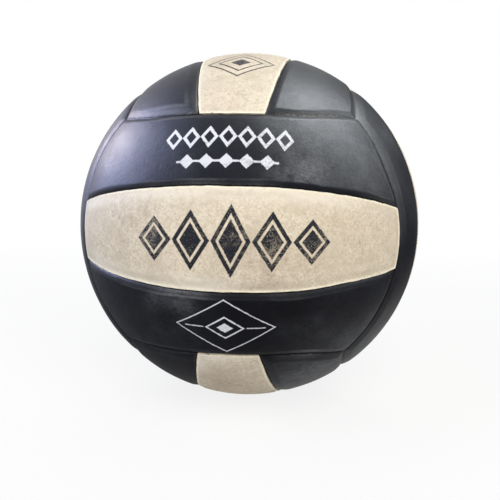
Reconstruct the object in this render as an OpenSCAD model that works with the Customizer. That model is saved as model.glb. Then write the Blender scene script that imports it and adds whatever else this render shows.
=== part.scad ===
// Eighteen-panel leather volleyball, in millimetres.
// The origin is the centre of the ball and +Z is up. The front face, whose strips lie across it,
// looks along -Y, and the inflation valve is in the middle panel of the back face, on +Y.
// From outside to inside it is leather panels, a moulded rubber carcass, a wound nylon layer and
// a rubber bladder, with the valve housing moulded to the bladder and the valve plug pushed into it.

/* [Ball] */
// Distance round the inflated ball
ball_girth = 660; // [600:5:700]
// Layer of cement between two layers of the ball
cement_layer = 0.1; // [0.05:0.05:0.2]

/* [Leather panels] */
// Thickness of a panel, leather and backing together
panel_thickness = 2; // [1.6:0.1:3]
// Width of a face's middle panel at its middle, measured over the ball
middle_panel_width = 51; // [44:0.5:56]
// Lean of the seams beside a middle panel, which draws its ends in, in degrees
seam_lean = 12.8; // [6:0.2:14]
// Gap between two panels where they meet
seam_gap = 0.2; // [0.1:0.05:0.4]
// Width of the skived edge of a panel, where the leather rounds down to the seam
skive_width = 5; // [3:0.5:8]
// How far the skived edge drops below the ball's surface at the seam
skive_drop = 1.1; // [0.5:0.1:1.4]

/* [Inner layers] */
// Thickness of the rubber carcass under the panels
carcass_thickness = 0.8; // [0.5:0.1:1.5]
// Thickness of the nylon winding round the bladder
winding_thickness = 0.5; // [0.3:0.1:1]
// Thickness of the bladder's wall
bladder_thickness = 0.8; // [0.5:0.1:1.5]

/* [Valve housing] */
// Wall of the housing's stem round the head of the plug
housing_wall = 1.1; // [0.8:0.1:2]
// Floor of the housing under the plug
housing_floor = 2; // [1:0.5:4]
// Air hole through the floor of the housing
air_hole_d = 2.4; // [1.5:0.1:3]
// Diameter of the flange moulded to the inside of the bladder
flange_d = 32; // [24:1:44]
// Thickness of the flange
flange_thickness = 1.4; // [1:0.1:2.5]
// How far the valve's outer end lies below the ball's surface
valve_recess = 0.5; // [0.3:0.1:1]
// Clearance between the stem and the layers that it passes through
stem_clearance = 0.15; // [0.1:0.05:0.3]
// Bevel round the valve's hole in the leather
hole_bevel = 0.6; // [0.3:0.1:1]

/* [Valve plug] */
// Diameter of the plug's head
plug_head_d = 6.4; // [5.8:0.1:7.5]
// Thickness of the plug's head
plug_head_thickness = 1.6; // [1:0.1:2.5]
// Diameter of the plug's shaft
plug_d = 4.6; // [4:0.1:5.2]
// Length of the whole plug
plug_length = 19; // [17:0.5:24]
// Diameter of the swollen end that holds the plug in its housing
plug_bulb_d = 5.8; // [5.4:0.1:6.4]
// Length of the plug's swollen end, tapers included
plug_bulb_length = 5; // [4:0.5:6]
// Clearance round the plug in its housing
plug_clearance = 0.05; // [0.03:0.01:0.1]
// Diameter of the needle channel in the plug
needle_d = 2; // [1.6:0.1:2.4]
// Depth of the needle channel, past which the rubber closes by itself
needle_depth = 15; // [12:0.5:16]
// Width of the dish that leads the needle in
dish_d = 3.6; // [3:0.1:4.5]
// Depth of that dish
dish_depth = 0.8; // [0.5:0.1:1.2]

/* [Hidden] */
$fn = 180;
black_leather = "#20222a";
ivory_leather = "#e4dccb";
carcass_rubber = "#2b2a29";
nylon_thread = "#d9d3bd";
butyl_rubber = "#3a3937";
valve_rubber = "#17171a";

ball_r = ball_girth / (2 * PI);
// Half the width of a face: the seams round the faces lie in the six planes of a cube
face_edge = ball_r / sqrt(3);
// Angle at the ball's centre across half a middle panel
middle_half_angle = 180 * middle_panel_width / ball_girth;
// Distance from the ball's centre to the plane of a seam beside a middle panel
inner_seam = ball_r * sin(middle_half_angle - seam_lean);

panel_inner_r = ball_r - panel_thickness;
carcass_r = panel_inner_r - cement_layer;
winding_r = carcass_r - carcass_thickness - cement_layer;
bladder_r = winding_r - winding_thickness - cement_layer;
bladder_inner_r = bladder_r - bladder_thickness;
flange_r = bladder_inner_r - cement_layer;

valve_top = ball_r - valve_recess;
plug_end = valve_top - plug_length;
head_seat = valve_top - plug_head_thickness;
// The swollen end tapers over a third of its length at each end
bulb_taper_share = 1 / 3;
bulb_taper = plug_bulb_length * bulb_taper_share;
housing_end = plug_end - plug_clearance - housing_floor;
stem_r = plug_head_d / 2 + plug_clearance + housing_wall;
stem_hole_r = stem_r + stem_clearance;
// How far a cut runs past what it cuts
overrun = cement_layer;

// Each face by name, with the third turns about the cube's diagonal that bring the front face to
// its axis, whether it lies on the far side, and its side strips, the one on the positive side first
FACES = [
    ["front", 0, false, "upper", "lower"],
    ["back", 0, true, "upper", "lower"],
    ["bottom", 1, false, "right", "left"],
    ["top", 1, true, "right", "left"],
    ["left", 2, false, "back", "front"],
    ["right", 2, true, "back", "front"],
];
// A face's strips: its positive side, its middle and its negative side
STRIPS = [1, 0, -1];

function strip_name(face, strip) = strip == 0 ? "middle" : strip > 0 ? face[3] : face[4];
function panel_name(face, strip) = str(face[0], "_", strip_name(face, strip), "_panel");

// Radius at height h of a circle on a sphere of radius r
function radius_at(r, h) = sqrt(r * r - h * h);

// A seam is [direction of its axis, distance from the ball's centre to its plane]. The panel lies
// below the plane, looking along the axis.
end_seam = [[0, 1, 0], -face_edge];
side_seam = [[0, 0, 1], face_edge];
upper_seam = [[0, sin(seam_lean), cos(seam_lean)], inner_seam];
lower_seam = [[0, sin(seam_lean), -cos(seam_lean)], inner_seam];
upper_seam_outside = [-upper_seam[0], -upper_seam[1]];

// Turns +Z to a direction
module along(direction) {
    tilt = acos(direction[2] / norm(direction));
    rotate([0, tilt, atan2(direction[1], direction[0])]) children();
}

// The space on the panel's side of a seam, short of the gap
module panel_side(seam) {
    space = 4 * ball_r;
    along(seam[0])
        translate([-space / 2, -space / 2, seam[1] - seam_gap / 2 - space])
            cube(space);
}

// What the knife takes off a panel along a seam: the ring outside an arc that leaves the ball's
// surface at a tangent, one skive width from the seam, and drops by the skive drop at the seam
module skive_ring(seam) {
    lip = [radius_at(ball_r - skive_drop, seam[1]), seam[1]];
    shoulder_height = seam[1] - skive_width;
    shoulder = [radius_at(ball_r, shoulder_height), shoulder_height];
    chord = lip - shoulder;
    arc_r = ball_r * (chord * chord) / (2 * (ball_r * ball_r - lip * shoulder));
    ring_inner = min(lip[0], shoulder[0]) - skive_drop;
    ring_width = 2 * skive_width + 4 * skive_drop;
    along(seam[0])
        rotate_extrude()
            difference() {
                translate([ring_inner, shoulder_height])
                    square([ring_width, skive_width + skive_drop]);
                translate(shoulder * (1 - arc_r / ball_r))
                    circle(arc_r);
            }
}

// A layer of the ball between two radii, its poles turned away from every seam and the valve
module layer(outer_r, inner_r) {
    along([3, 1, 2])
        difference() {
            sphere(outer_r);
            sphere(inner_r);
        }
}

// A panel of the front face between three or four seams, before it is turned to its own place
module panel_between(seams) {
    difference() {
        intersection() {
            layer(ball_r, panel_inner_r);
            intersection_for(seam = seams) panel_side(seam);
        }
        for (seam = seams) skive_ring(seam);
    }
}

module middle_panel() {
    color(ivory_leather)
        panel_between([end_seam, upper_seam, lower_seam]);
}

module side_panel() {
    color(black_leather)
        panel_between([end_seam, side_seam, upper_seam_outside]);
}

// The hole that the valve's stem passes through, along +Y
module stem_hole() {
    rotate([-90, 0, 0]) cylinder(h = 2 * ball_r, r = stem_hole_r);
}

// The bevel round that hole at the surface of the leather
module stem_hole_bevel() {
    rotate([-90, 0, 0])
        translate([0, 0, ball_r - hole_bevel])
            cylinder(h = 2 * hole_bevel, r1 = stem_hole_r, r2 = stem_hole_r + 2 * hole_bevel);
}

module panel(face, strip) {
    difference() {
        rotate(120 * face[1], [1, 1, 1])
            mirror([0, face[2] ? 1 : 0, 0])
                if (strip == 0) middle_panel();
                else mirror([0, 0, strip < 0 ? 1 : 0]) side_panel();
        if (face[0] == "back" && strip == 0) {
            stem_hole();
            stem_hole_bevel();
        }
    }
}

module carcass() {
    color(carcass_rubber)
        difference() {
            layer(carcass_r, carcass_r - carcass_thickness);
            stem_hole();
        }
}

module winding() {
    color(nylon_thread)
        difference() {
            layer(winding_r, winding_r - winding_thickness);
            stem_hole();
        }
}

module bladder() {
    color(butyl_rubber)
        difference() {
            layer(bladder_r, bladder_inner_r);
            stem_hole();
        }
}

// Outline of the plug as a shape of revolution about its length, grown on all sides by a clearance
module plug_outline(grown) {
    head_r = plug_head_d / 2 + grown;
    shaft_r = plug_d / 2 + grown;
    bulb_r = plug_bulb_d / 2 + grown;
    polygon([
        [0, plug_end - grown],
        [shaft_r, plug_end - grown],
        [bulb_r, plug_end + bulb_taper],
        [bulb_r, plug_end + plug_bulb_length - bulb_taper],
        [shaft_r, plug_end + plug_bulb_length],
        [shaft_r, head_seat - grown],
        [head_r, head_seat - grown],
        [head_r, valve_top + grown],
        [0, valve_top + grown],
    ]);
}

// The needle's dish and channel, from the plug's outer end inwards
module needle_channel() {
    translate([0, 0, valve_top - needle_depth])
        cylinder(h = needle_depth, r = needle_d / 2);
    translate([0, 0, valve_top - dish_depth])
        cylinder(h = dish_depth + overrun, r1 = needle_d / 2, r2 = dish_d / 2);
}

module valve_plug() {
    color(valve_rubber)
        rotate([-90, 0, 0])
            difference() {
                rotate_extrude() plug_outline(0);
                needle_channel();
            }
}

module valve_housing() {
    color(valve_rubber)
        rotate([-90, 0, 0])
            difference() {
                union() {
                    translate([0, 0, housing_end])
                        cylinder(h = valve_top - housing_end, r = stem_r);
                    intersection() {
                        layer(flange_r, flange_r - flange_thickness);
                        cylinder(h = ball_r, r = flange_d / 2);
                    }
                }
                rotate_extrude() plug_outline(plug_clearance);
                translate([0, 0, housing_end - overrun])
                    cylinder(h = housing_floor + plug_clearance + 2 * overrun, r = air_hole_d / 2);
            }
}

for (face = FACES)
    for (strip = STRIPS)
        panel(face, strip);
carcass();
winding();
bladder();
valve_housing();
valve_plug();
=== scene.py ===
"""Looks of a worn eighteen-panel leather volleyball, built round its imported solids.

The leather panels are cut, laid and skived anew by one Geometry Nodes tree, which follows the seam
planes of the solids. The rubber carcass, the winding, the bladder and the valve keep their solids and
are dressed with procedural finishes. Everything is in metres, in the frame of the solids: the origin
is the centre of the ball, +Z is up, the front face looks along -Y and the valve is on +Y.
"""

from __future__ import annotations

import logging
import math
from dataclasses import dataclass, field
from enum import Enum
from typing import Any, Iterable, Sequence, Union

import bpy
from mathutils import Matrix, Vector

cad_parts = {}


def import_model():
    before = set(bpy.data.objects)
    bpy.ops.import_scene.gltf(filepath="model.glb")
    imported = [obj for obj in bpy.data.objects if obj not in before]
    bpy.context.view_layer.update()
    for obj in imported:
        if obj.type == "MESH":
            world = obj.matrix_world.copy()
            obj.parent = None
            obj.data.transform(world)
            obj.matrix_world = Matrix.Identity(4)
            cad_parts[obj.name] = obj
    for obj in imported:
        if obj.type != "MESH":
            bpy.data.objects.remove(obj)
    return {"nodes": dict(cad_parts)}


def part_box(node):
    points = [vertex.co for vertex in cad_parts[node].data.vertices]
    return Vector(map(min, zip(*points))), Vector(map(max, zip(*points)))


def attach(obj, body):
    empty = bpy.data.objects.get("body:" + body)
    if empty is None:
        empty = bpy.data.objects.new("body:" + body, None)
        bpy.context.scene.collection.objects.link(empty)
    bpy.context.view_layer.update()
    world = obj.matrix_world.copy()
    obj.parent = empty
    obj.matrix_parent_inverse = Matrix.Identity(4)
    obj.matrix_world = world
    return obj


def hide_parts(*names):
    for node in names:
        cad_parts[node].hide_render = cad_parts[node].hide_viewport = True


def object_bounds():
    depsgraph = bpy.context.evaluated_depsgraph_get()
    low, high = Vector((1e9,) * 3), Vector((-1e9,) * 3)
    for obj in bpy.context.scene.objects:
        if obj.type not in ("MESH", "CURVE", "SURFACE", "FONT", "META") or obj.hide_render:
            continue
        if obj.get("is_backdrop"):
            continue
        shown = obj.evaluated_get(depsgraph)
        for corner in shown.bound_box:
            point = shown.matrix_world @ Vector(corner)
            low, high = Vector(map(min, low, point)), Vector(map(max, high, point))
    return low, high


LOG = logging.getLogger("volleyball")
MM = 0.001
BALL_RADIUS = 105.0
"""Radius of the ball that the finishes reckon with, in millimetres."""
SEAM_ATTRIBUTE = "seam_distance"
"""Name of the attribute with the distance to the nearest seam, in millimetres."""
SKIVE_ATTRIBUTE = "skive_share"
"""Name of the attribute with that distance as a share of the skived edge's width."""

Colour = tuple[float, float, float]
Direction = tuple[float, float, float]


def srgb(red: int, green: int, blue: int) -> Colour:
    """Turns a colour as a screen shows it, 0 to 255, into the linear values that shaders use.

    Args:
        red: Red level.
        green: Green level.
        blue: Blue level.

    Returns:
        The linear colour.
    """

    def linear(level: int) -> float:
        """The linear value of one screen level."""
        share = level / 255
        return share / 12.92 if share <= 0.04045 else ((share + 0.055) / 1.055) ** 2.4

    return linear(red), linear(green), linear(blue)


# Node trees


class Wire:
    """A socket of a node tree that Python expressions can reckon with."""

    def __init__(self, bench: "Bench", socket: bpy.types.NodeSocket) -> None:
        """Wraps a socket.

        Args:
            bench: The bench whose tree holds the socket.
            socket: The output socket.
        """
        self.bench = bench
        self.socket = socket

    @property
    def is_vector(self) -> bool:
        """Whether the socket carries a vector."""
        return self.socket.type == "VECTOR"

    def math(self, operation: str, *others: "Value") -> "Wire":
        """The result of a Math or Vector Math operation on this wire and others."""
        return self.bench.math(operation, self, *others)

    def __add__(self, other: "Value") -> "Wire":
        """The sum."""
        return self.math("ADD", other)

    __radd__ = __add__

    def __sub__(self, other: "Value") -> "Wire":
        """The difference."""
        return self.math("SUBTRACT", other)

    def __rsub__(self, other: "Value") -> "Wire":
        """The reflected difference."""
        return self.bench.math("SUBTRACT", other, self)

    def __mul__(self, other: "Value") -> "Wire":
        """The product."""
        return self.math("MULTIPLY", other)

    __rmul__ = __mul__

    def __truediv__(self, other: "Value") -> "Wire":
        """The quotient."""
        return self.math("DIVIDE", other)

    def __rtruediv__(self, other: "Value") -> "Wire":
        """The reflected quotient."""
        return self.bench.math("DIVIDE", other, self)

    def __pow__(self, power: float) -> "Wire":
        """This wire raised to a power."""
        return self.math("POWER", power)

    def __abs__(self) -> "Wire":
        """The size without the sign."""
        return self.math("ABSOLUTE")


Value = Union[Wire, float, Sequence[float]]


class Bench:
    """Builds one node tree, of shader nodes or of geometry nodes."""

    def __init__(self, tree: bpy.types.NodeTree) -> None:
        """Starts on a tree.

        Args:
            tree: The tree that takes the nodes.
        """
        self.tree = tree

    def node(
        self,
        kind: str,
        settings: dict[str, Any] | None = None,
        inputs: dict[str | int, Value] | None = None,
    ) -> bpy.types.Node:
        """Adds a node.

        Args:
            kind: The node's type.
            settings: Its settings by name, set first.
            inputs: Values or wires by the name or the place of the socket.

        Returns:
            The node.
        """
        node = self.tree.nodes.new(kind)
        for name, value in (settings or {}).items():
            setattr(node, name, value)
        for key, value in (inputs or {}).items():
            self.feed(node.inputs[key], value)
        return node

    def feed(self, socket: bpy.types.NodeSocket, value: Value) -> None:
        """Links a wire to an input socket, or sets its value.

        Args:
            socket: The input socket.
            value: The wire or the value. A number fills a whole vector, and three numbers are an
                opaque colour.
        """
        if isinstance(value, Wire):
            self.tree.links.new(value.socket, socket)
        elif socket.type == "VECTOR" and isinstance(value, (int, float)):
            socket.default_value = (value, value, value)
        elif socket.type == "RGBA" and len(value) == 3:
            socket.default_value = (*value, 1.0)
        else:
            socket.default_value = value

    def wire(self, node: bpy.types.Node, output: str | int = 0) -> Wire:
        """A node's output as a wire."""
        return Wire(self, node.outputs[output])

    def result(
        self,
        kind: str,
        settings: dict[str, Any] | None = None,
        inputs: dict[str | int, Value] | None = None,
    ) -> Wire:
        """The first output of a new node, which takes what node() takes."""
        return self.wire(self.node(kind, settings, inputs))

    def math(self, operation: str, *values: Value) -> Wire:
        """Adds a Math node, or a Vector Math node where a value is a vector.

        Args:
            operation: The node's operation.
            *values: What it reckons with.

        Returns:
            The result.
        """
        on_vectors = any(
            value.is_vector if isinstance(value, Wire) else not isinstance(value, (int, float))
            for value in values
        )
        kind = "ShaderNodeVectorMath" if on_vectors else "ShaderNodeMath"
        return self.wire(self.node(kind, {"operation": operation}, dict(enumerate(values))))

    def measure(self, operation: str, *values: Value) -> Wire:
        """A Vector Math operation whose result is a number, such as LENGTH, DISTANCE or DOT_PRODUCT."""
        node = self.node("ShaderNodeVectorMath", {"operation": operation}, dict(enumerate(values)))
        return self.wire(node, "Value")

    def split(self, vector: Wire) -> tuple[Wire, Wire, Wire]:
        """The three components of a vector."""
        node = self.node("ShaderNodeSeparateXYZ", inputs={0: vector})
        return self.wire(node, 0), self.wire(node, 1), self.wire(node, 2)

    def join(self, x: Value, y: Value, z: Value) -> Wire:
        """A vector from three numbers."""
        return self.wire(self.node("ShaderNodeCombineXYZ", inputs={0: x, 1: y, 2: z}))

    def step(self, value: Wire, low: float, high: float) -> Wire:
        """A soft step.

        Args:
            value: What it is a step of.
            low: The value at which it is 0.
            high: The value at which it is 1, which may be the smaller of the two.

        Returns:
            The step.
        """
        ends = {1: high, 2: low, 3: 1.0, 4: 0.0} if high < low else {1: low, 2: high, 3: 0.0, 4: 1.0}
        settings = {"interpolation_type": "SMOOTHSTEP"}
        return self.wire(self.node("ShaderNodeMapRange", settings, {0: value, **ends}))

    def lerp(self, first: Value, second: Value, share: Value) -> Wire:
        """A number between two numbers."""
        settings = {"data_type": "FLOAT", "clamp_factor": False}
        return self.wire(self.node("ShaderNodeMix", settings, {0: share, 2: first, 3: second}), 0)

    def blend(self, first: Value, second: Value, share: Value) -> Wire:
        """A colour between two colours."""
        node = self.node("ShaderNodeMix", {"data_type": "RGBA"}, {0: share, 6: first, 7: second})
        return self.wire(node, 2)

    def noise(
        self, place: Wire, size: float, detail: float = 2.0, roughness: float = 0.5, warp: float = 0.0
    ) -> Wire:
        """Smooth noise from 0 to 1.

        Args:
            place: Where it is read.
            size: Size of its largest features, in the unit of the place.
            detail: How many finer layers it has.
            roughness: How strong the finer layers are.
            warp: How far it is distorted.

        Returns:
            The noise.
        """
        inputs = {"Vector": place, "Scale": 1 / size, "Detail": detail, "Roughness": roughness}
        return self.wire(self.node("ShaderNodeTexNoise", inputs={**inputs, "Distortion": warp}))

    def cells(self, place: Wire, size: float, feature: str = "F1") -> Wire:
        """The distance field of a Voronoi pattern.

        Args:
            place: Where it is read.
            size: Size of a cell, in the unit of the place.
            feature: Which distance is given.

        Returns:
            The distance, in cells.
        """
        inputs = {"Vector": place, "Scale": 1 / size}
        return self.wire(self.node("ShaderNodeTexVoronoi", {"feature": feature}, inputs), "Distance")


class Surface(Bench):
    """A material's shader tree with one principled surface."""

    def __init__(self, name: str) -> None:
        """Starts an empty material.

        Args:
            name: The material's name.
        """
        self.material = bpy.data.materials.new(name)
        self.material.use_nodes = True
        super().__init__(self.material.node_tree)
        self.tree.nodes.clear()

    def place(self) -> Wire:
        """The place on the object, in millimetres."""
        return self.wire(self.node("ShaderNodeTexCoord"), "Object") * (1 / MM)

    def attribute(self, name: str) -> Wire:
        """A number stored on the mesh."""
        node = self.node("ShaderNodeAttribute", {"attribute_name": name})
        return self.wire(node, "Fac")

    def bump(self, height: Wire, depth: float) -> Wire:
        """The normal of a relief.

        Args:
            height: Height of the relief, from 0 to 1.
            depth: The height that 1 stands for, in millimetres.

        Returns:
            The normal.
        """
        inputs = {"Strength": 1.0, "Distance": depth * MM, "Height": height}
        return self.wire(self.node("ShaderNodeBump", inputs=inputs))

    def finish(self, **sockets: Value) -> bpy.types.Material:
        """Adds the principled shader and the output.

        Args:
            **sockets: Values or wires by the socket's name, with _ for a space.

        Returns:
            The material.
        """
        inputs = {name.replace("_", " "): value for name, value in sockets.items()}
        shader = self.wire(self.node("ShaderNodeBsdfPrincipled", inputs=inputs))
        self.node("ShaderNodeOutputMaterial", inputs={"Surface": shader})
        return self.material


# Noise patterns


@dataclass(frozen=True)
class Pattern:
    """A smooth noise pattern, which can be made a mask of patches.

    Attributes:
        size: Size of its largest features, in the unit of the place that it is read at.
        detail: How many finer layers it has.
        roughness: How strong the finer layers are.
        warp: How far it is distorted.
        offset: How far off the place it is read, so that patterns don't agree.
        low: The noise at which its patches begin.
        high: The noise at which they are full.
    """

    size: float
    detail: float = 2.0
    roughness: float = 0.5
    warp: float = 0.0
    offset: Direction = (0.0, 0.0, 0.0)
    low: float = 0.0
    high: float = 1.0

    def noise(self, bench: Bench, place: Wire) -> Wire:
        """The noise at a place."""
        shifted = place + self.offset if any(self.offset) else place
        return bench.noise(shifted, self.size, self.detail, self.roughness, self.warp)

    def mask(self, bench: Bench, place: Wire) -> Wire:
        """The patches at a place, 1 where they are full."""
        return bench.step(self.noise(bench, place), self.low, self.high)


RAGGED_EDGE = Pattern(1.4, 3.0, 0.7)
"""How printed edges wander."""
INK_LOSS = Pattern(20.0, 4.0, 0.6, offset=(9.0, 2.0, 41.0), low=0.4, high=0.64)
# Where the ink is worn most.
"""Where the ink is rubbed most."""
INK_SPECKS = Pattern(0.7, 4.0, 0.8)
"""Specks that the ink comes off in."""
SCRATCHES = Pattern(4.2, 3.0, 0.55)
"""The drift of fine scratches."""
BROAD = Pattern(60.0, 3.0, offset=(31.0, 7.0, 19.0), low=0.35, high=0.68)
"""Broad drift of the dye."""
PATCHES = Pattern(14.0, 5.0, 0.62)
"""Patches as wide as a finger."""
MIDDLING = Pattern(2.8, 3.0, 0.6, offset=(5.0, 17.0, 2.0))
"""Mottling between the patches and the grain."""
FINE = Pattern(1.1, 3.0, 0.65)
"""Mottling as fine as the grain."""
WAVES = Pattern(3.6, offset=(2.0, 9.0, 4.0))
"""Unevenness broader than the grain."""
SCUFFED_ALL_OVER = Pattern(48.0, 3.0, offset=(63.0, 12.0, 5.0), low=0.5, high=0.75)
"""Where the leather is a little scuffed without a chosen place."""
CLOUD = Pattern(9.0, 6.0, 0.7)
# How scuffing and its painted sheen break up.
"""How scuffs break up."""
HAIRS = Pattern(1.0, 4.0, 0.75)
# Fine streaks in scuffing and its painted sheen.
"""Fine streaks in scuffs."""
SMUDGES = Pattern(22.0, 5.0, 0.7, 0.6, (3.0, 55.0, 8.0), 0.56, 0.74)
"""Smudges of soil."""
BLOTS = Pattern(3.2, 4.0, 0.7, offset=(8.0, 21.0, 13.0), low=0.52, high=0.7)
# Small blots of soil where the leather is scuffed.
"""Small blots of soil in scuffs."""
BROKEN = Pattern(30.0, 2.0, low=0.5, high=0.66)
# Where wear on creases and slopes, with its painted sheen, is stronger, seams hold dust and the painted fold
# shade shows, without a chosen place.
"""Where creases are rubbed and seams hold dust without a chosen place."""
POWDER = Pattern(0.7, 3.0, 0.7, low=0.4, high=0.64)
"""The crumbs of dust."""
NICKS = Pattern(2.4, 3.0, 0.7, offset=(4.0, 4.0, 9.0))
"""Nicks and stains in the lip."""
SWELL = Pattern(0.32, 2.0, offset=(4.0, 1.0, 2.0))
"""The broad unevenness of a laid panel, in shares of the ball's radius."""
RIPPLE = Pattern(0.07, 2.0, offset=(1.0, 8.0, 5.0))
"""Its finer unevenness, in the same shares."""
KNIFE = Pattern(0.25)
"""How the width of a skived edge wanders, in the same shares."""


# Printed marks, in millimetres on the leather, from the middle of the face


EDGE = 0.16
"""Half the softness of a printed edge."""
RAGGEDNESS = 0.7
"""How far the printed edges wander."""


def lozenge(x: Wire, y: Wire, half_width: float, half_height: Value) -> Wire:
    """How far a point lies outside the edge of a lozenge.

    Args:
        x: Place across the lozenge.
        y: Place up the lozenge.
        half_width: Half its width.
        half_height: Half its height.

    Returns:
        The distance from its edge, negative inside.
    """
    share = abs(x) / half_width + abs(y) / half_height - 1.0
    slope = (1.0 / (half_width * half_width) + 1.0 / (half_height * half_height)) ** 0.5
    return share / slope


def nearest_of_row(along: Wire, pitch: float, each_side: int) -> Wire:
    """The number of the nearest shape of a row, counted from its middle.

    Args:
        along: Place along the row.
        pitch: Distance between the shapes.
        each_side: How many stand on each side of the middle one.

    Returns:
        The number, a whole one.
    """
    return (along / pitch).math("ROUND").math("MINIMUM", each_side).math("MAXIMUM", -each_side)


def together(first: Wire, *others: Wire) -> Wire:
    """How far a point lies outside shapes taken together, from how far it lies outside each."""
    for other in others:
        first = first.math("MINIMUM", other)
    return first


@dataclass(frozen=True)
class Lozenge:
    """A lozenge, solid or drawn in outline.

    Attributes:
        half_width: Half its width.
        half_height: Half its height.
        half_line: Half the width of its outline, or 0 where it is solid.
        inset: How far the middle of the outline lies inside the edge.
    """

    half_width: float
    half_height: float
    half_line: float = 0.0
    inset: float = 0.0

    def outside(self, x: Wire, y: Wire) -> Wire:
        """How far a point lies outside its ink."""
        edge = lozenge(x, y, self.half_width, self.half_height)
        return abs(edge + self.inset) - self.half_line if self.half_line else edge


@dataclass(frozen=True)
class Bar:
    """A straight line.

    Attributes:
        half_length: Half its length.
        half_width: Half its width.
    """

    half_length: float
    half_width: float

    def outside(self, x: Wire, y: Wire) -> Wire:
        """How far a point lies outside its ink."""
        return (abs(x) - self.half_length).math("MAXIMUM", abs(y) - self.half_width)


@dataclass(frozen=True)
class Row:
    """A row of equal lozenges.

    Attributes:
        shape: One of them.
        level: How far up the row lies.
        pitch: Distance between them.
        each_side: How many stand on each side of the middle one.
    """

    shape: Lozenge
    level: float
    pitch: float
    each_side: int

    def outside(self, u: Wire, v: Wire) -> Wire:
        """How far a point lies outside its ink."""
        number = nearest_of_row(u, self.pitch, self.each_side)
        return self.shape.outside(u - number * self.pitch, v - self.level)


@dataclass(frozen=True)
class Band:
    """A row of bold lozenges, the tallest in the middle, each with a bare line inside.

    Attributes:
        pitch: Distance between the lozenges.
        half_width: Half the width of each.
        half_height: Half the height of the middle one.
        height_step: How much less half the height of each next one is.
        each_side: How many stand on each side of the middle one.
        middle: How far the row lies to the right of the panel's middle.
        inset: How far the middle of the bare line lies inside the edge.
        half_line: Half the width of the bare line.
    """

    pitch: float = 18.8
    half_width: float = 9.1
    half_height: float = 17.0
    height_step: float = 2.8
    each_side: int = 2
    middle: float = 3.5
    inset: float = 2.6
    half_line: float = 0.6

    def outside(self, u: Wire, v: Wire) -> Wire:
        """How far a point lies outside its ink.

        Args:
            u: Place along the band.
            v: Place across it.

        Returns:
            The distance, negative inside.
        """
        along = u - self.middle
        number = nearest_of_row(along, self.pitch, self.each_side)
        half_height = self.half_height - abs(number) * self.height_step
        edge = lozenge(along - number * self.pitch, v, self.half_width, half_height)
        return edge.math("MAXIMUM", self.half_line - abs(edge + self.inset))


@dataclass(frozen=True)
class Chain:
    """A chain of outlined lozenges over a shorter row of small solid ones strung on a line.

    Attributes:
        links: The chain.
        beads: The row of small ones.
        string: The line through them.
    """

    links: Row = Row(Lozenge(4.3, 5.8, half_line=0.75, inset=0.7), level=49.5, pitch=8.8, each_side=3)
    beads: Row = Row(Lozenge(3.6, 3.6), level=37.0, pitch=9.4, each_side=2)
    string: Bar = Bar(24.0, 0.5)

    def outside(self, u: Wire, v: Wire) -> Wire:
        """How far a point lies outside its ink."""
        string = self.string.outside(u, v - self.beads.level)
        return together(self.links.outside(u, v), self.beads.outside(u, v), string)


@dataclass(frozen=True)
class Nest:
    """Lozenges nested round one middle, some with a short line on each side.

    Attributes:
        level: How far up its middle lies.
        shapes: The lozenges.
        tail: The line on each side, where it has one.
        tail_at: How far out the middle of that line lies.
    """

    level: float
    shapes: tuple[Lozenge, ...]
    tail: Bar | None = None
    tail_at: float = 0.0

    def outside(self, u: Wire, v: Wire) -> Wire:
        """How far a point lies outside its ink.

        Args:
            u: Place across the mark.
            v: Place up the mark, from the middle of the face.

        Returns:
            The distance, negative inside.
        """
        up = v - self.level
        inks = [shape.outside(u, up) for shape in self.shapes]
        if self.tail is not None:
            inks.append(self.tail.outside(abs(u) - self.tail_at, up))
        return together(*inks)


class Print(Enum):
    """The generic printed marks of the ball, each with the name that its material ends in."""

    NONE = ("", None)
    FRONT_BAND = ("_front_band", Band())
    UPPER_CHAIN = ("_upper_chain", Chain())
    LOWER_MARK = (
        "_lower_mark",
        Nest(
            level=-43.5,
            shapes=(Lozenge(24.0, 15.5, 0.28), Lozenge(9.0, 6.2, 0.38), Lozenge(4.0, 2.8)),
            tail=Bar(4.5, 0.28),
            tail_at=15.0,
        ),
    )
    TOP_MARK = (
        "_top_mark",
        Nest(
            level=-57.0,
            shapes=(Lozenge(17.5, 16.5, 0.5), Lozenge(11.5, 10.8, 0.5), Lozenge(5.4, 5.0)),
        ),
    )

    def __init__(self, suffix: str, drawing: Band | Chain | Nest | None) -> None:
        """Names the parts of the value.

        Args:
            suffix: What the names of its materials end in.
            drawing: The drawing, where there is one.
        """
        self.suffix = suffix
        self.drawing = drawing

    def mask(self, surface: Surface, place: Wire) -> Wire:
        """The mask of the mark, 1 where there is ink.

        Args:
            surface: The material's bench.
            place: The place on the ball, in millimetres.

        Returns:
            The mask.
        """
        x, y, z = surface.split(place)
        up, out = (y, z) if self is Print.TOP_MARK else (z, y * -1.0)
        radius = surface.measure("LENGTH", place)
        ragged = (RAGGED_EDGE.noise(surface, place) - 0.5) * RAGGEDNESS
        u = (x / radius).math("ARCSINE") * radius + ragged
        v = up.math("ARCTAN2", out) * radius + ragged
        return surface.step(self.drawing.outside(u, v), EDGE, -EDGE)


# Finishes


@dataclass(frozen=True)
class WearAndSheenPlace:
    """A chosen place of wear and dust on the leather; many also place painted sheen and painted light.

    Attributes:
        toward: Direction of the place from the centre of the ball.
        reach: How far the scuff reaches, in millimetres.
        strength: How strong it is.
    """

    toward: Direction
    reach: float
    strength: float


SPECK_SPACING = 7.5
"""Distance between specks of soil, in millimetres."""
GRAIN_CELL = 1.1
"""Size of the leather's rounded grain, in millimetres."""


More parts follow.
